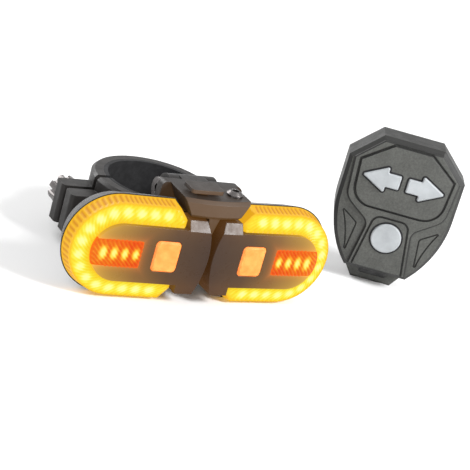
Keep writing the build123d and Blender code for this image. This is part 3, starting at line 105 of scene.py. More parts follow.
# Camera. The lit pair in the photograph gives its direction, roll, distance and scale, and the view
# here is closer by one factor. Distances in metres, the sensor in millimetres.
VIEW_AZIMUTH = math.radians(-31.6)
VIEW_ELEVATION = math.radians(21.7)
VIEW_ROLL = math.radians(-16.3)
VIEW_DISTANCE = 0.5
VIEW_MIDDLE = Vector((0.016, -0.03, 0.018))
FRAME_SIZE = 470
PHOTO_PIXELS_PER_METRE = 2044
CLOSER = 1.62
SENSOR = 36
NEAR_CLIP = 0.01
FAR_CLIP = 20


def make_camera(target, aim):
    """A camera that sees the target as the photograph does and holds the aim point in the middle."""
    level = math.cos(VIEW_ELEVATION)
    across = math.sin(VIEW_AZIMUTH) * level
    back = Vector((across, -math.cos(VIEW_AZIMUTH) * level, math.sin(VIEW_ELEVATION)))
    place = target + back * VIEW_DISTANCE
    outward = (place - aim).normalized()
    side = Vector((0, 0, 1)).cross(outward).normalized()
    above = outward.cross(side)
    turn = Matrix((side, above, outward)).transposed().to_4x4()
    data = bpy.data.cameras.new("camera")
    data.sensor_width = SENSOR
    data.lens = PHOTO_PIXELS_PER_METRE * CLOSER * VIEW_DISTANCE / FRAME_SIZE * SENSOR
    data.clip_start = NEAR_CLIP
    data.clip_end = FAR_CLIP
    camera = bpy.data.objects.new("camera", data)
    bpy.context.scene.collection.objects.link(camera)
    camera.matrix_world = Matrix.Translation(place) @ turn @ Matrix.Rotation(-VIEW_ROLL, 4, "Z")
    bpy.context.scene.camera = camera


pair_front = Vector((0, -REACH, MIDDLE_HEIGHT)) * MM
make_camera(pair_front, VIEW_MIDDLE)


# Material tools
BEVEL_SAMPLES = 6
CREVICE_SAMPLES = 8
# Dot product of the rounded normal and the true one, on a flat face and along a sharp edge
FLAT_FACE = 0.98
SHARP_EDGE = 0.85
# Between these values of noise, one patch turns into the next
PATCH_LOW = 0.3
PATCH_HIGH = 0.7
BLACK = (0.0, 0.0, 0.0, 1)


def srgb(red, green, blue):
    """A colour as it shows on screen, from 0 to 255, as the linear colour that shaders take."""

    def linear(value):
        value = value / 255
        return value / 12.92 if value <= 0.04045 else ((value + 0.055) / 1.055) ** 2.4

    return (linear(red), linear(green), linear(blue), 1)


def scaled(colour, factor):
    return (colour[0] * factor, colour[1] * factor, colour[2] * factor, 1)


class Nodes:
    """Short calls for the nodes of one shader tree."""

    def __init__(self, tree):
        self.tree = tree

    def node(self, kind, **values):
        """A new node. A name that is one of its sockets sets that socket, another sets a property."""
        made = self.tree.nodes.new(kind)
        for key, value in values.items():
            if key in made.inputs:
                made.inputs[key].default_value = value
            else:
                setattr(made, key, value)
        return made

    def link(self, source, target):
        self.tree.links.new(source, target)

    def feed(self, value, target):
        """A socket takes a plain value or the output of another node."""
        if isinstance(value, (int, float, tuple)):
            target.default_value = value
        else:
            self.link(value, target)

    def calc(self, operation, *values):
        """One step of arithmetic."""
        made = self.node("ShaderNodeMath", operation=operation)
        for value, target in zip(values, made.inputs):
            self.feed(value, target)
        return made.outputs[0]

    def plus(self, first, second):
        return self.calc("ADD", first, second)

    def minus(self, first, second):
        return self.calc("SUBTRACT", first, second)

    def times(self, first, second):
        return self.calc("MULTIPLY", first, second)

    def dot(self, first, second):
        made = self.node("ShaderNodeVectorMath", operation="DOT_PRODUCT")
        self.feed(first, made.inputs[0])
        self.feed(second, made.inputs[1])
        return made.outputs["Value"]

    def axes(self, vector):
        """The outputs X, Y and Z of a vector."""
        made = self.node("ShaderNodeSeparateXYZ")
        self.link(vector, made.inputs[0])
        return made.outputs

    def spread(self, value, low, high, out_low=0.0, out_high=1.0):
        """A value's range from low to high, drawn out over another range and held inside it."""
        limits = {"From Min": low, "From Max": high, "To Min": out_low, "To Max": out_high}
        made = self.node("ShaderNodeMapRange", **limits)
        self.link(value, made.inputs["Value"])
        return made.outputs["Result"]

    def in_view(self):
        """1 for a ray that shows a surface, straight, mirrored or through a clear piece."""
        path = self.node("ShaderNodeLightPath").outputs
        seen = self.calc("MAXIMUM", path["Is Camera Ray"], path["Is Glossy Ray"])
        return self.calc("MAXIMUM", seen, path["Is Transmission Ray"])


class Finish(Nodes):
    """A material with a Principled shader and short calls for what feeds it."""

    def __init__(self, name):
        self.name = name
        self.material = bpy.data.materials.new(name)
        self.material.use_nodes = True
        super().__init__(self.material.node_tree)
        self.shader = self.tree.nodes["Principled BSDF"]

    def set(self, **values):
        """Sets or links the shader's own sockets."""
        for key, value in values.items():
            self.feed(value, self.shader.inputs[key.replace("_", " ")])

    def place(self):
        """Object coordinates, which are the frame's own metres."""
        return self.node("ShaderNodeTexCoord").outputs["Object"]

    def outward(self):
        """The way the surface faces, in the object's own directions."""
        return self.node("ShaderNodeTexCoord").outputs["Normal"]

    def attribute(self, name):
        return self.node("ShaderNodeAttribute", attribute_name=name).outputs["Fac"]

    def noise(self, scale, detail, roughness=0.6, stretch=None):
        """Noise over the object, made finer along each axis by stretch where that is given."""
        made = self.node("ShaderNodeTexNoise", Scale=scale, Detail=detail, Roughness=roughness)
        where = self.place()
        if stretch:
            mapping = self.node("ShaderNodeMapping", Scale=stretch)
            self.link(where, mapping.inputs["Vector"])
            where = mapping.outputs["Vector"]
        self.link(where, made.inputs["Vector"])
        return made.outputs["Fac"]

    def patches(self, scale, detail, out_low=0.0, out_high=1.0):
        """Soft patches, from one value to another."""
        return self.spread(self.noise(scale, detail), PATCH_LOW, PATCH_HIGH, out_low, out_high)

    def ramp(self, value, stops):
        made = self.node("ShaderNodeValToRGB")
        elements = made.color_ramp.elements
        while len(elements) < len(stops):
            elements.new(0.5)
        for element, (where, colour) in zip(elements, stops):
            element.position = where
            element.color = colour
        self.link(value, made.inputs["Fac"])
        return made.outputs["Color"]

    def mix(self, factor, first, second, blend="MIX"):
        """The colour mix of a Mix node, whose colour sockets are its inputs 6 and 7 and output 2."""
        made = self.node("ShaderNodeMix", data_type="RGBA", blend_type=blend)
        for value, index in ((factor, 0), (first, 6), (second, 7)):
            self.feed(value, made.inputs[index])
        return made.outputs[2]

    def rounded(self, radius):
        """The surface's normal, turned at sharp edges as if they had this radius."""
        return self.node("ShaderNodeBevel", Radius=radius, samples=BEVEL_SAMPLES).outputs["Normal"]

    def bump(self, height, strength, distance, edge=None):
        """Relief from a height, over edges that the shading rounds by the given radius."""
        made = self.node("ShaderNodeBump", Strength=strength, Distance=distance)
        self.link(height, made.inputs["Height"])
        if edge:
            self.link(self.rounded(edge), made.inputs["Normal"])
        self.link(made.outputs["Normal"], self.shader.inputs["Normal"])

    def crevice(self, reach):
        """Near 0 inside grooves and gaps narrower than the reach, 1 on open faces."""
        made = self.node("ShaderNodeAmbientOcclusion", Distance=reach, samples=CREVICE_SAMPLES)
        return made.outputs["AO"]

    def worn_edge(self, radius):
        """1 along sharp outer edges and 0 on flat faces, broken up by noise."""
        flat = self.node("ShaderNodeNewGeometry").outputs["Normal"]
        edge = self.spread(self.dot(self.rounded(radius), flat), FLAT_FACE, SHARP_EDGE)
        worn = self.spread(self.noise(scale=900, detail=4), low=0.45, high=0.65)
        return self.times(edge, worn)


# Shares of a plastic's own colour in its patches, on its rubbed edges and in the painted shade of its
# grooves
DARK_PATCH = 0.82
PALE_PATCH = 1.18
RUBBED = 1.9
GROOVE_PAINTED_SHADE = 0.12
# How far the roughness of plastic and of metal falls and rises in patches
GLOSSIER = 0.06
DULLER = 0.1
METAL_GLOSSIER = 0.08
METAL_DULLER = 0.12
# Share of a metal's own colour in its dulled patches
DULLED_METAL = 0.6
# What the crevice test gives at the bottom of a groove and on an open face
GROOVE_BOTTOM = 0.45
OPEN_FACE = 0.85
EDGE_ROUNDING = 0.25 * MM
METAL_ROUNDING = 0.12 * MM
# Drawn metal has fine marks that run across Z, and foil is the same along each axis
DRAWN = (1, 1, 14)
EVEN = (1, 1, 1)


def moulded(name, colour, roughness, grain=0.35, grain_scale=5200, groove=0.9 * MM, specular=0.3):
    """Injection moulded plastic: fine eroded grain, uneven gloss, painted shade in grooves and gaps, and
    rubbed edges.
    """
    finish = Finish(name)
    patches = finish.patches(scale=110, detail=6)
    tone = finish.mix(patches, scaled(colour, DARK_PATCH), scaled(colour, PALE_PATCH))
    tone = finish.mix(finish.worn_edge(EDGE_ROUNDING), tone, scaled(colour, RUBBED))
    # Painted shade: in grooves and gaps that the crevice test finds, the colour falls to a small share of
    # itself
    outside_groove_shade = finish.spread(finish.crevice(groove), GROOVE_BOTTOM, OPEN_FACE)
    tone = finish.mix(outside_groove_shade, scaled(colour, GROOVE_PAINTED_SHADE), tone)
    gloss = finish.patches(scale=300, detail=3, out_low=roughness - GLOSSIER, out_high=roughness + DULLER)
    finish.set(Base_Color=tone, Roughness=gloss, Specular_IOR_Level=specular)
    pores = finish.noise(grain_scale, detail=2, roughness=0.5)
    finish.bump(pores, strength=grain, distance=0.04 * MM, edge=EDGE_ROUNDING)
    return finish


def rubber(name, colour):
    """Matt rubber with a soft mottle and a little dust in its pores."""
    finish = Finish(name)
    dust = finish.spread(finish.noise(scale=420, detail=6), low=0.4, high=0.75)
    finish.set(Base_Color=finish.mix(dust, colour, scaled(colour, RUBBED)), Specular_IOR_Level=0.25)
    finish.set(Roughness=finish.patches(scale=200, detail=3, out_low=0.7, out_high=0.88))
    pores = finish.noise(scale=3000, detail=3)
    finish.bump(pores, strength=0.4, distance=0.05 * MM, edge=EDGE_ROUNDING)
    return finish


def metal(name, colour, roughness, stretch=DRAWN):
    """Plated metal with fine drawn marks and a little dulling in patches."""
    finish = Finish(name)
    marks = finish.noise(scale=1500, detail=3, stretch=stretch)
    dulled = finish.spread(finish.noise(scale=200, detail=4), low=0.45, high=0.75)
    glossiest = roughness - METAL_GLOSSIER
    dullest = roughness + METAL_DULLER
    finish.set(Base_Color=finish.mix(dulled, colour, scaled(colour, DULLED_METAL)), Metallic=1.0)
    finish.set(Roughness=finish.spread(marks, PATCH_LOW, PATCH_HIGH, glossiest, dullest))
    finish.bump(marks, strength=0.15, distance=0.02 * MM, edge=METAL_ROUNDING)
    return finish


def board(name, colour, trace):
    """Circuit board: solder mask over faint traces."""
    finish = Finish(name)
    cells = finish.node("ShaderNodeTexVoronoi", feature="DISTANCE_TO_EDGE", Scale=420)
    finish.link(finish.place(), cells.inputs["Vector"])
    lines = finish.spread(cells.outputs["Distance"], low=0.02, high=0.05, out_low=1, out_high=0)
    finish.set(Base_Color=finish.mix(lines, colour, trace), Roughness=0.35)
    finish.bump(cells.outputs["Distance"], strength=0.1, distance=0.03 * MM)
    return finish


# The light of the LEDs. Reaches are in millimetres, and the glow of a place runs from 0 to 1.
ROW_HAZE = 3.4
HAZE_SHARE = 0.4
OUTER_HAZE = 0.25
LENS_CLOUD = 0.07
PRISM_TINT = 0.09
LENS_STRENGTH = 0.95
LENS_REFLECTS = 0.06
# These set the light painted as emission on the cover and bracket near the lens
WINDOW_GLOW_REACH = 1.1
BAND_GLOW_REACH = 3
AWAY_FROM_BAND = 0.4
LENS_REACH = ROUND_CENTRE + LENS_HALF
BRACKET_GLOW_END = -24

# Half length and half height of the soft spot that each LED makes in the lens and on itself
AMBER_IN_LENS = (1.7, 1.7)
RED_IN_LENS = (1.05, 1.8)
AMBER_IN_LED = (1.6, 1.6)
RED_IN_LED = (1.2, 1.6)

# How much of the rim's colour the lens shows: on its face's edge, on its wall, at its ends, in a groove
RIM_EDGE = 0.55
RIM_WALL = 0.8
RIM_END = 0.9
RIM_GROOVE = 1

# Colours of the lit lens, from its dimmest to its brightest, and of its rim
AMBER = (
    (0.0, srgb(250, 188, 26)),
    (0.3, srgb(246, 212, 40)),
    (0.55, srgb(246, 232, 62)),
    (0.95, srgb(255, 255, 156)),
)
RED = (
    (0.0, srgb(230, 74, 4)),
    (0.25, srgb(238, 118, 10)),
    (0.45, srgb(252, 176, 40)),
    (0.7, srgb(255, 224, 82)),
    (1.0, srgb(255, 242, 130)),
)
RIM_AMBER = srgb(246, 184, 36)
GROOVE_AMBER = srgb(212, 138, 24)
RIM_RED = srgb(250, 112, 18)

# The orange button, in its deeper and paler patches and along its edge
BUTTON_ORANGE = srgb(240, 118, 46)
BUTTON_PALE = srgb(248, 142, 68)
BUTTON_EDGE = srgb(255, 190, 120)
BUTTON_EDGE_SHARE = 0.5

# Light of the lens painted as emission on the black plastic near it: on the cover along its length, on the
# cover round its window, and on the bracket
COVER_PAINTED_GLOW = (
    (0.0, (0.07, 0.026, 0.005, 1)),
    (0.27, (0.12, 0.05, 0.008, 1)),
    (0.5, (0.28, 0.13, 0.016, 1)),
    (0.85, (0.72, 0.4, 0.04, 1)),
)
WINDOW_PAINTED_GLOW = (0.34, 0.07, 0.004, 1)
BRACKET_PAINTED_GLOW = (0.14, 0.068, 0.022, 1)


class LightPlace:
    """Where a point of either light lies on its face, as shader values in millimetres.

    out runs from the inner end to the outer one, past is out from the centre of the round end, up
    runs from the middle line, and away is the distance from that line and from that centre."""

    def __init__(self, finish):
        self.finish = finish
        axes = finish.axes(finish.place())
        width = finish.times(finish.calc("ABSOLUTE", axes["X"]), 1 / MM)
        depth = finish.times(axes["Y"], 1 / MM)
        height = finish.times(axes["Z"], 1 / MM)
        along = finish.times(finish.minus(width, APEX), math.cos(SWEEP))
        swept = finish.times(finish.plus(depth, REACH), math.sin(SWEEP))
        self.out = finish.plus(along, swept)
        self.up = finish.minus(height, MIDDLE_HEIGHT)
        self.past = finish.minus(self.out, ROUND_CENTRE)
        beyond = finish.calc("MAXIMUM", self.past, 0.0)
        square = finish.plus(finish.times(beyond, beyond), finish.times(self.up, self.up))
        self.away = finish.calc("SQRT", square)

    def repeated(self, value, pitch):
        """A value that starts again at each pitch, with 0 in its middle."""
        return self.finish.calc("WRAP", value, pitch / 2, -pitch / 2)

    def spot(self, along, across, half_length, half_height):
        """A soft spot, 1 in its middle, from distances along and across a row."""
        finish = self.finish
        first = finish.calc("DIVIDE", along, half_length)
        second = finish.calc("DIVIDE", across, half_height)
        square = finish.plus(finish.times(first, first), finish.times(second, second))
        return finish.calc("EXPONENT", finish.times(square, -1.0))

    def amber_glow(self, half_length, half_height):
        """1 in front of each amber LED: two straight rows, joined by an arc of them."""
        finish = self.finish
        row_start = -LED_PITCH * (LEDS_IN_STRAIGHT + 0.5)
        in_band = finish.calc("GREATER_THAN", self.past, row_start)
        bent = finish.calc("GREATER_THAN", self.past, 0.0)
        straight = finish.times(self.repeated(self.past, LED_PITCH), finish.minus(1.0, bent))
        turn = finish.calc("ARCTAN2", self.past, finish.calc("ABSOLUTE", self.up))
        in_arc = finish.times(self.repeated(turn, LED_TURN), LED_ROW)
        along = finish.plus(straight, finish.times(in_arc, bent))
        off_row = finish.minus(self.away, LED_ROW)
        spots = finish.times(self.spot(along, off_row, half_length, half_height), in_band)
        haze = self.spot(0.0, off_row, 1.0, ROW_HAZE)
        return finish.plus(finish.times(haze, HAZE_SHARE), finish.times(spots, 1 - HAZE_SHARE))

    def red_glow(self, half_length, half_height):
        """1 in front of each red LED, in one row."""
        finish = self.finish
        along = finish.minus(self.out, RED_LED_CENTRE + RED_LED_PITCH / 2)
        off_centre = finish.calc("ABSOLUTE", finish.minus(self.out, RED_LED_CENTRE))
        in_row = finish.calc("LESS_THAN", off_centre, RED_LED_PITCH * RED_LED_COUNT / 2)
        spots = self.spot(self.repeated(along, RED_LED_PITCH), self.up, half_length, half_height)
        haze = finish.spread(self.out, WINDOW_START, ROUND_CENTRE + TONGUE_HALF, 0, OUTER_HAZE)
        return finish.plus(haze, finish.times(spots, in_row))

    def fade(self, distance, reach):
        """1 at and inside a border, fading with the distance outside it."""
        outside = self.finish.calc("MAXIMUM", distance, 0.0)
        return self.finish.calc("EXPONENT", self.finish.calc("DIVIDE", outside, -reach))


def lit_lens(name, glow_of, spot, stops, rim_colour, groove_colour):
    """Clear prismatic moulding, lit by the LEDs behind it, and an LED, which has no prisms or rim."""
    finish = Finish(name)
    glow = glow_of(LightPlace(finish), *spot)
    cloud = finish.patches(scale=650, detail=4, out_low=-LENS_CLOUD, out_high=LENS_CLOUD)
    prism = finish.spread(finish.attribute("prism"), 0, 1, -PRISM_TINT, PRISM_TINT)
    light = finish.ramp(finish.plus(finish.plus(glow, cloud), prism), stops)
    rim = finish.attribute("rim")
    rim_tone = finish.mix(finish.spread(rim, RIM_WALL, RIM_GROOVE), rim_colour, groove_colour)
    light = finish.mix(rim, light, rim_tone)
    finish.set(Emission_Color=light, Emission_Strength=LENS_STRENGTH)
    finish.set(Base_Color=finish.mix(LENS_REFLECTS, BLACK, light), Specular_IOR_Level=0.1, Roughness=0.35)
    finish.bump(finish.noise(scale=2600, detail=2), strength=0.12, distance=0.03 * MM)
    return finish


def lit_button(name):
    """Translucent orange push button with light behind it."""
    finish = Finish(name)
    tone = finish.mix(finish.patches(scale=350, detail=3), BUTTON_ORANGE, BUTTON_PALE)
    edge = finish.times(finish.worn_edge(EDGE_ROUNDING), BUTTON_EDGE_SHARE)
    tone = finish.mix(edge, tone, BUTTON_EDGE)
    finish.set(Base_Color=tone, Emission_Color=tone, Emission_Strength=0.4, Roughness=0.45)
    finish.set(Specular_IOR_Level=0.3, Subsurface_Weight=0.15)
    finish.set(Subsurface_Radius=(2 * MM, 0.8 * MM, 0.4 * MM))
    pores = finish.noise(scale=4200, detail=2)
    finish.bump(pores, strength=0.3, distance=0.03 * MM, edge=EDGE_ROUNDING)
    return finish


def cover_with_painted_glow(name, colour):
    """Glossy black cover, with the light of the lens round it and of its window painted on it as emission.
    """
    finish = moulded(name, colour, roughness=0.3, grain=0.12, groove=0.7 * MM, specular=0.22)
    place = LightPlace(finish)
    off_window_side = finish.minus(finish.calc("ABSOLUTE", place.up), WINDOW_HALF)
    off_window_end = finish.minus(WINDOW_START, place.out)
    off_window = finish.calc("MAXIMUM", off_window_side, off_window_end)
    near_window = place.fade(off_window, WINDOW_GLOW_REACH)
    near_band = place.fade(finish.minus(TONGUE_HALF, place.away), BAND_GLOW_REACH)
    painted_glow = finish.ramp(finish.calc("DIVIDE", place.out, LENS_REACH), COVER_PAINTED_GLOW)
    painted_glow = finish.mix(near_band, finish.mix(AWAY_FROM_BAND, painted_glow, BLACK), painted_glow)
    # Painted light: the red glow of the window's LEDs on the cover round the window
    red = finish.mix(near_window, BLACK, WINDOW_PAINTED_GLOW)
    finish.set(Emission_Color=finish.mix(1.0, red, painted_glow, "ADD"), Emission_Strength=1.0)
    return finish


def bracket_with_painted_glow(name, colour):
    """Black plastic behind the lights, with a little of their light painted as emission on its near faces.
    """
    finish = moulded(name, colour, roughness=0.4, grain=0.3, specular=0.2)
    near = finish.spread(finish.axes(finish.place())["Y"], -REACH * MM, BRACKET_GLOW_END * MM, 1, 0)
    towards = finish.spread(finish.axes(finish.outward())["Y"], low=0.2, high=-0.9)
    # Painted light: emission on faces near the lights that turn towards them
    painted_glow = finish.mix(finish.times(near, towards), BLACK, BRACKET_PAINTED_GLOW)
    finish.set(Emission_Color=painted_glow, Emission_Strength=1.0)
    return finish


def remote_plastic(name, colour, painted_side_shade):
    """Grained grey plastic on the remote's face, with painted shade that darkens its sloping rim and
    sides.
    """
    finish = moulded(name, colour, roughness=0.5, grain=0.6, grain_scale=3600, groove=1.1 * MM)
    # Painted shade: faces that turn away from the remote's front take the darker colour
    facing = finish.spread(finish.dot(finish.outward(), tuple(REMOTE_FRONT)), low=0.85, high=0.98)
    face = finish.shader.inputs["Base Color"].links[0].from_socket
    speckle = finish.noise(scale=1500, detail=5, roughness=0.7)
    mottle = finish.spread(speckle, low=0.35, high=0.65, out_low=0.78, out_high=1.2)
    mottled = finish.node("ShaderNodeVectorMath", operation="SCALE")
    finish.link(face, mottled.inputs[0])
    finish.link(mottle, mottled.inputs["Scale"])
    finish.set(Base_Color=finish.mix(facing, painted_side_shade, mottled.outputs["Vector"]))
    return finish


FINISHES = (
    lit_lens("amber_lens", LightPlace.amber_glow, AMBER_IN_LENS, AMBER, RIM_AMBER, GROOVE_AMBER),
    lit_lens("red_lens", LightPlace.red_glow, RED_IN_LENS, RED, RIM_RED, RIM_RED),
    lit_lens("amber_led", LightPlace.amber_glow, AMBER_IN_LED, AMBER, RIM_AMBER, RIM_AMBER),
    lit_lens("red_led", LightPlace.red_glow, RED_IN_LED, RED, RIM_RED, RIM_RED),
    lit_button("orange_button"),
    cover_with_painted_glow("black_gloss", srgb(26, 23, 22)),
    bracket_with_painted_glow("bracket_black", srgb(38, 36, 35)),
    moulded("black_shell", srgb(40, 39, 40), roughness=0.4, grain=0.3, specular=0.32),
    # The remote's second colour is painted shade for its sloping rim and sides
    remote_plastic("remote_grey", srgb(74, 75, 72), srgb(38, 38, 37)),
    moulded("key_grey", srgb(158, 162, 165), roughness=0.5, grain=0.45, grain_scale=3600, groove=0.5 * MM),
    rubber("black_rubber", srgb(30, 30, 31)),
    rubber("keypad_rubber", srgb(120, 122, 126)),
    metal("steel", srgb(104, 100, 99), roughness=0.32),
    metal("switch_metal", srgb(200, 200, 204), roughness=0.25),
    metal("battery_foil", srgb(205, 207, 212), roughness=0.4, stretch=EVEN),
    board("white_board", srgb(232, 232, 228), srgb(214, 214, 208)),
    board("green_board", srgb(24, 104, 52), srgb(60, 140, 78)),
)
MATERIALS = {finish.name: finish.material for finish in FINISHES}


def dress_nodes():
    """Each node of the model takes the finish of its slot in the record.

    The lenses have a slot with no finish of its own. They are replaced below, and take amber here."""
    for row in frame["record"]["subparts"]:
        material = MATERIALS.get(row["material_slot"], MATERIALS["amber_lens"])
        node = frame["nodes"][row["node"]]
        node.data.materials.clear()
        node.data.materials.append(material)


dress_nodes()


# Pieces made here
def add_object(name, mesh, material=None):
    """An object in the scene from a mesh under construction, which ends with it."""
    data = bpy.data.meshes.new(name)
    mesh.to_mesh(data)
    mesh.free()
    made = bpy.data.objects.new(name, data)
    bpy.context.scene.collection.objects.link(made)
    if material:
        data.materials.append(material)
    return made


# Lens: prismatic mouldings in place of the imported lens, a band and a strip for each light, in
# millimetres. The band's ends rise steeply over END_EDGE and reach the face after END_SLOPE. A prism
# value runs from 0 in the prisms' valleys to 1 on their peaks, and the wall has neither.
PRISM_PITCH = 0.72
PRISM_HEIGHT = 0.28
RIB_DEPTH = 0.16
WALL_ROWS = 4
END_SLOPE = 1.3
END_EDGE = 0.25
LENS_THICKNESS = 1.3
WALL_PRISM = 0.5


def dome_depth(distance):
    """Depth of the lens's front at a distance from the middle line, in millimetres."""
    knots = (
        (0, CROWN),
        (DOME_FLAT, CROWN),
        (LENS_HALF - MIDDLE_INSET, CROWN + MIDDLE_DROP),
        (LENS_HALF - SHOULDER_INSET, CROWN + SHOULDER_DROP),
    )
    for (near, near_depth), (far, far_depth) in zip(knots, knots[1:]):
        if distance <= far:
            share = (distance - near) / (far - near)
            return near_depth + share * (far_depth - near_depth)
    return CROWN + SHOULDER_DROP


def band_track(distance):
    """Places along the band at one distance from the middle line, from one end round to the other.

    Each is (out, up, depth the end's slope gives it, whether a prism may rise there)."""
    slant = END_CHAMFER / (LENS_HALF + RIM_STEP - BLOCK_HALF)
    start = LENS_START + RIM_STEP + max(distance + RIM_STEP - BLOCK_HALF, 0) * slant
    end = (
        (start, RIM_DEPTH, False),
        (start + END_EDGE, CROWN + SHOULDER_DROP, False),
        (start + END_SLOPE, 0, False),
    )
    steps = round((ROUND_CENTRE - LENS_START - END_CHAMFER - END_SLOPE) / PRISM_PITCH)
    first = start + END_SLOPE
    run = []
    for step in range(1, steps):
        run.append((first + (ROUND_CENTRE - first) * step / steps, 0, True))
    side_run = list(end) + run
    track = [(out, -distance, depth, free) for out, depth, free in side_run]
    turns = round(math.pi * LED_ROW / PRISM_PITCH)
    for step in range(turns + 1):
        turn = math.radians(-90 + 180 * step / turns)
        track.append((ROUND_CENTRE + distance * math.cos(turn), distance * math.sin(turn), 0, True))
    track += [(out, distance, depth, free) for out, depth, free in reversed(side_run)]
    return track


def band_rows():
    """Rows of (out, up, depth, rim, prism), from the tongue over the shoulder to the foot of the wall."""
    rows = []
    front = LENS_HALF - SHOULDER_INSET
    steps = round((front - TONGUE_HALF) / PRISM_PITCH)
    for step in range(steps + 1):
        distance = TONGUE_HALF + (front - TONGUE_HALF) * step / steps
        inside = 0 < step < steps
        row = []
        for index, (out, up, end_depth, free) in enumerate(band_track(distance)):
            peak = free and inside and (index + step) % 2 == 1
            valley = PRISM_HEIGHT if inside and not peak else 0
            rim = 0
            if step == steps:
                rim = RIM_WALL if index % 2 else RIM_EDGE
            if end_depth:
                rim = RIM_END
            row.append((out, up, max(dome_depth(distance) + valley, end_depth), rim, float(peak)))
        rows.append(row)
    for step in range(1, WALL_ROWS + 1):
        share = step / WALL_ROWS
        drop = CROWN + SHOULDER_DROP + share * (RIM_DEPTH - CROWN - SHOULDER_DROP)
        track = band_track(front + SHOULDER_INSET * share)
        row = []
        for index, (out, up, end_depth, free) in enumerate(track):
            groove = RIB_DEPTH if free and index % 2 and step < WALL_ROWS else 0
            middle = Vector((min(out, ROUND_CENTRE), 0))
            inward = (middle - Vector((out, up))).normalized() * groove
            rim = RIM_GROOVE if groove else RIM_WALL
            row.append((out + inward.x, up + inward.y, max(drop, end_depth), rim, WALL_PRISM))
        rows.append(row)
    return rows


def strip_rows():
    """Rows of the same across the strip, which fills the window and meets the band at its outer end."""
    rows = []
    across = round(2 * WINDOW_HALF / PRISM_PITCH)
    along = round((ROUND_CENTRE + TONGUE_HALF - WINDOW_START) / PRISM_PITCH)
    for step in range(across + 1):
        up = -WINDOW_HALF + 2 * WINDOW_HALF * step / across
        end = ROUND_CENTRE + math.sqrt(TONGUE_HALF**2 - up**2)
        row = []
        for index in range(along + 1):
            out = WINDOW_START + (end - WINDOW_START) * index / along
            distance = math.hypot(max(out - ROUND_CENTRE, 0), up)
            border = step in (0, across) or index in (0, along)
            peak = not border and (index + step) % 2
            depth = dome_depth(distance) + (0 if peak else PRISM_HEIGHT)
            row.append((out, up, depth, RIM_WALL if border else 0, float(peak)))
        rows.append(row)
    return rows


def make_lens(name, side, rows, material):
    """A sheet of rows and columns on a light's face, given its wall by Solidify."""
    mesh = bmesh.new()
    rim_layer = mesh.verts.layers.float.new("rim")
    prism_layer = mesh.verts.layers.float.new("prism")
    grid = []
    for row in rows:
        line = []
        for out, up, depth, rim, prism in row:
            vertex = mesh.verts.new(light_point(side, out, up, depth))
            vertex[rim_layer] = rim
            vertex[prism_layer] = prism
            line.append(vertex)
        grid.append(line)
    for one, two in zip(grid, grid[1:]):
        for index in range(len(one) - 1):
            corners = [one[index], one[index + 1], two[index + 1], two[index]]
            if side > 0:
                corners.reverse()
            mesh.faces.new(corners)
    mesh.normal_update()
    lens = add_object(name, mesh, material)
    wall = lens.modifiers.new("wall", "SOLIDIFY")
    wall.thickness = LENS_THICKNESS * MM
    wall.offset = -1
    return lens


for side, side_name in ((-1, "left"), (1, "right")):
    band = make_lens(f"{side_name}_lens_band", side, band_rows(), MATERIALS["amber_lens"])
    strip = make_lens(f"{side_name}_lens_strip", side, strip_rows(), MATERIALS["red_lens"])
    for piece in (band, strip):
        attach(piece, f"{side_name}_light")
        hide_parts(f"{side_name}_lens")


# Remote: a soft black bead round each key, which stands in for the shade in the gap round the key, in
# millimetres
SHADE_BEAD_NEAR = 0.1
SHADE_BEAD_WIDTH = 0.5
SHADE_BEAD_HEIGHT = 0.1
SHADE_BEAD_SUNK = 0.15
SHARPEST_CORNER = 0.02
CORNER_STEPS = 4
DISC_STEPS = 48
IN_FRONT = 50


def remote_point(across, height, front):
    """A point of the remote in the frame: across its face, up from its foot, out of its middle plane."""
    return (REMOTE_MIDDLE + REMOTE_RIGHT * across + Vector((0, 0, height)) + REMOTE_FRONT * front) * MM


def arrow_corners(side):
    """Corners of an arrow that points away from the remote's middle, as (across, height)."""
    base = ARROW_GAP / 2
    neck = base + ARROW_LENGTH - ARROW_HEAD
    half = (
        (base, -ARROW_SHAFT_HALF),
        (neck, -ARROW_SHAFT_HALF),
        (neck, -ARROW_HEAD_HALF),
        (base + ARROW_LENGTH, 0),
        (neck, ARROW_HEAD_HALF),
        (neck, ARROW_SHAFT_HALF),
        (base, ARROW_SHAFT_HALF),
    )
    corners = [Vector((side * across, ARROW_HEIGHT + up)) for across, up in half]
    return corners if side > 0 else corners[::-1]


def rounded_outline(corners, grow):
    """A closed outline, anticlockwise, moved outward by grow and rounded at its corners."""
    points = []
    for index, corner in enumerate(corners):
        before = (corner - corners[index - 1]).normalized()
        after = (corners[(index + 1) % len(corners)] - corner).normalized()
        turn = math.atan2(before.cross(after), before.dot(after))
        radius = max(ARROW_CORNER + math.copysign(grow, turn), SHARPEST_CORNER)
        out_before = Vector((before.y, -before.x))
        out_after = Vector((after.y, -after.x))
        moved = corner + (out_before + out_after) * grow / (1 + out_before.dot(out_after))
        reach = radius * math.tan(abs(turn) / 2)
        start = moved - before * reach
        centre = start - out_before * math.copysign(radius, turn)
        for step in range(CORNER_STEPS + 1):
            spin = Matrix.Rotation(turn * step / CORNER_STEPS, 2)
            points.append(centre + spin @ (start - centre))
    return points


def disc_outline(grow):
    """The round key's outline, moved outward by grow."""
    centre = Vector((0, POWER_HEIGHT))
    radius = POWER_RADIUS + grow
    turns = [2 * math.pi * step / DISC_STEPS for step in range(DISC_STEPS)]
    return [centre + Vector((math.cos(turn), math.sin(turn))) * radius for turn in turns]


def face_level(outline):
    """How far the remote's face stands out of its middle plane, the median along an outline."""
    shell = frame["nodes"]["remote_top_shell"].data
    places = [vertex.co for vertex in shell.vertices]
    face = BVHTree.FromPolygons(places, [polygon.vertices for polygon in shell.polygons])
    levels = []
    for point in outline:
        hit = face.ray_cast(remote_point(point.x, point.y, IN_FRONT), -REMOTE_FRONT)[0]
        levels.append(REMOTE_FRONT.dot(hit) / MM)
    return sorted(levels)[len(levels) // 2] - REMOTE_FRONT.dot(REMOTE_MIDDLE)


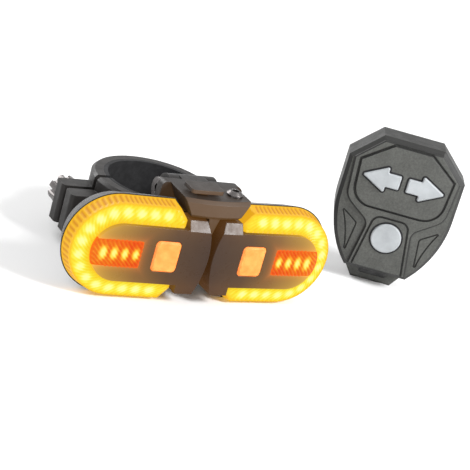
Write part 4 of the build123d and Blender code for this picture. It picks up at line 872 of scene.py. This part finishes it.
def make_shade_bead(name, outline):
    """A low black bead on the remote's face, as painted shade in the key's gap, from the key's outline at
    three distances from the key.
    """
    rows = (
        (SHADE_BEAD_NEAR, -SHADE_BEAD_SUNK),
        (SHADE_BEAD_NEAR, SHADE_BEAD_HEIGHT / 2),
        (SHADE_BEAD_NEAR + SHADE_BEAD_WIDTH / 2, SHADE_BEAD_HEIGHT),
        (SHADE_BEAD_NEAR + SHADE_BEAD_WIDTH, SHADE_BEAD_HEIGHT / 2),
        (SHADE_BEAD_NEAR + SHADE_BEAD_WIDTH, -SHADE_BEAD_SUNK),
    )
    level = face_level(outline(SHADE_BEAD_NEAR + SHADE_BEAD_WIDTH))
    mesh = bmesh.new()
    grid = []
    for distance, height in rows:
        line = []
        for point in outline(distance):
            line.append(mesh.verts.new(remote_point(point.x, point.y, level + height)))
        grid.append(line)
    for one, two in zip(grid, grid[1:] + grid[:1]):
        for index in range(len(one)):
            mesh.faces.new((one[index - 1], one[index], two[index], two[index - 1]))
    bmesh.ops.recalc_face_normals(mesh, faces=mesh.faces)
    shade_bead = add_object(name, mesh, MATERIALS["black_rubber"])
    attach(shade_bead, "remote")


# Black beads as painted shade in the gaps round the keys
make_shade_bead("left_arrow_shade_bead", lambda grow: rounded_outline(arrow_corners(-1), grow))
make_shade_bead("right_arrow_shade_bead", lambda grow: rounded_outline(arrow_corners(1), grow))
make_shade_bead("power_shade_bead", disc_outline)


# Cross recess in the head of each small screw, in millimetres
RECESS_ARM = 1.15
RECESS_HALF = 0.22
RECESS_DEPTH = 0.6
WELD_REACH = 0.001
TOP_REACH = 0.01


def screw_tops(node, outward):
    """The middle of each screw's head in a node of several screws, on the side that faces outward."""
    mesh = bmesh.new()
    mesh.from_mesh(node.data)
    bmesh.ops.remove_doubles(mesh, verts=mesh.verts, dist=WELD_REACH * MM)
    left = set(mesh.verts)
    tops = []
    for first in mesh.verts:
        if first not in left:
            continue
        left.remove(first)
        screw = [first]
        for vertex in screw:
            for edge in vertex.link_edges:
                other = edge.other_vert(vertex)
                if other in left:
                    left.remove(other)
                    screw.append(other)
        highest = max(vertex.co.dot(outward) for vertex in screw)
        rim = [vertex.co for vertex in screw if vertex.co.dot(outward) > highest - TOP_REACH * MM]
        tops.append(sum(rim, Vector()) / len(rim))
    mesh.free()
    return tops


def add_cross(mesh, top, outward):
    """A cross-shaped prism through the top of a screw's head."""
    arm, half = RECESS_ARM, RECESS_HALF
    quarter = ((half, half), (arm, half), (arm, -half))
    across = Vector((0, 0, 1)).cross(outward).normalized()
    above = outward.cross(across)
    ends = []
    for depth in (RECESS_DEPTH, -RECESS_DEPTH):
        ring = []
        for turn in range(4):
            spin = Matrix.Rotation(-math.pi / 2 * turn, 2)
            for corner in quarter:
                flat = spin @ Vector(corner)
                place = top + (across * flat.x + above * flat.y - outward * depth) * MM
                ring.append(mesh.verts.new(place))
        ends.append(ring)
    low, high = ends
    mesh.faces.new(low)
    mesh.faces.new(high[::-1])
    for index in range(len(low)):
        mesh.faces.new((low[index - 1], high[index - 1], high[index], low[index]))


def recess_screws(name, node_name, body, outward):
    """A copy of a node's screws with a cross cut into each head."""
    node = frame["nodes"][node_name]
    mesh = bmesh.new()
    for top in screw_tops(node, outward):
        add_cross(mesh, top, outward)
    bmesh.ops.recalc_face_normals(mesh, faces=mesh.faces)
    cutter = add_object("cutter", mesh)
    screws = bpy.data.objects.new(name, node.data.copy())
    bpy.context.scene.collection.objects.link(screws)
    weld = screws.modifiers.new("weld", "WELD")
    weld.merge_threshold = WELD_REACH * MM
    cut = screws.modifiers.new("cut", "BOOLEAN")
    cut.operation = "DIFFERENCE"
    cut.solver = "EXACT"
    cut.object = cutter
    evaluated = screws.evaluated_get(bpy.context.evaluated_depsgraph_get())
    shaped = bpy.data.meshes.new_from_object(evaluated)
    screws.modifiers.clear()
    screws.data = shaped
    screws.data.materials.clear()
    screws.data.materials.append(MATERIALS["steel"])
    bpy.data.objects.remove(cutter)
    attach(screws, body)
    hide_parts(node_name)


for side, side_name in ((-1, "left"), (1, "right")):
    back = Vector((-side * math.sin(SWEEP), math.cos(SWEEP), 0))
    recess_screws(f"{side_name}_cross_screws", f"{side_name}_shell_screws", f"{side_name}_light", back)
recess_screws("remote_cross_screws", "remote_screws", "remote", -REMOTE_FRONT)


# Floor, world and lamps, in metres and watts. From FLOOR_NEAR to FLOOR_FAR from the object, out of
# the lamps' reach, the floor turns as white as the background.
FLOOR_HALF = 4
FLOOR_NEAR = 0.25
FLOOR_FAR = 0.7
PALE_FLOOR = (0.88, 0.88, 0.88, 1)
DARKER_FLOOR = (0.84, 0.84, 0.84, 1)
WHITE = (1.0, 1.0, 1.0, 1)
WORLD_LIGHT = 0.42
LIT_MIDDLE = Vector((0.02, -0.02, 0.02))


def make_floor():
    """A plain floor, which keeps the object's shadow and shows as white further off."""
    mesh = bmesh.new()
    bmesh.ops.create_grid(mesh, x_segments=1, y_segments=1, size=FLOOR_HALF)
    finish = Finish("floor")
    off = finish.node("ShaderNodeVectorMath", operation="LENGTH")
    finish.link(finish.place(), off.inputs[0])
    far = finish.spread(off.outputs["Value"], FLOOR_NEAR, FLOOR_FAR)
    clouds = finish.patches(scale=3, detail=2)
    finish.set(Base_Color=finish.mix(clouds, DARKER_FLOOR, PALE_FLOOR), Roughness=0.9)
    finish.set(Emission_Color=WHITE, Emission_Strength=finish.times(far, finish.in_view()))
    floor = add_object("floor", mesh, finish.material)


def make_world():
    """A soft grey light from all round, which shows as white behind the object."""
    world = bpy.data.worlds.new("world")
    bpy.context.scene.world = world
    world.use_nodes = True
    nodes = Nodes(world.node_tree)
    background = nodes.tree.nodes["Background"]
    background.inputs["Color"].default_value = WHITE
    nodes.link(nodes.spread(nodes.in_view(), 0, 1, WORLD_LIGHT, 1), background.inputs["Strength"])


def make_lamp(name, direction, distance, size, power):
    """A round lamp that shines on the middle of the object from one direction."""
    data = bpy.data.lights.new(name, "AREA")
    data.shape = "DISK"
    data.size = size
    data.energy = power
    lamp = bpy.data.objects.new(name, data)
    bpy.context.scene.collection.objects.link(lamp)
    away = Vector(direction).normalized()
    turn = away.to_track_quat("Z", "Y").to_matrix().to_4x4()
    lamp.matrix_world = Matrix.Translation(LIT_MIDDLE + away * distance) @ turn


make_floor()
make_world()
make_lamp("key", direction=(0.486, -0.645, 0.59), distance=0.8, size=0.26, power=8)
make_lamp("fill", direction=(-0.8, -0.7, 0.5), distance=0.9, size=0.7, power=4)
make_lamp("back", direction=(-0.3, 0.9, 0.6), distance=0.9, size=0.6, power=6)

bpy.context.scene.view_settings.view_transform = "Standard"
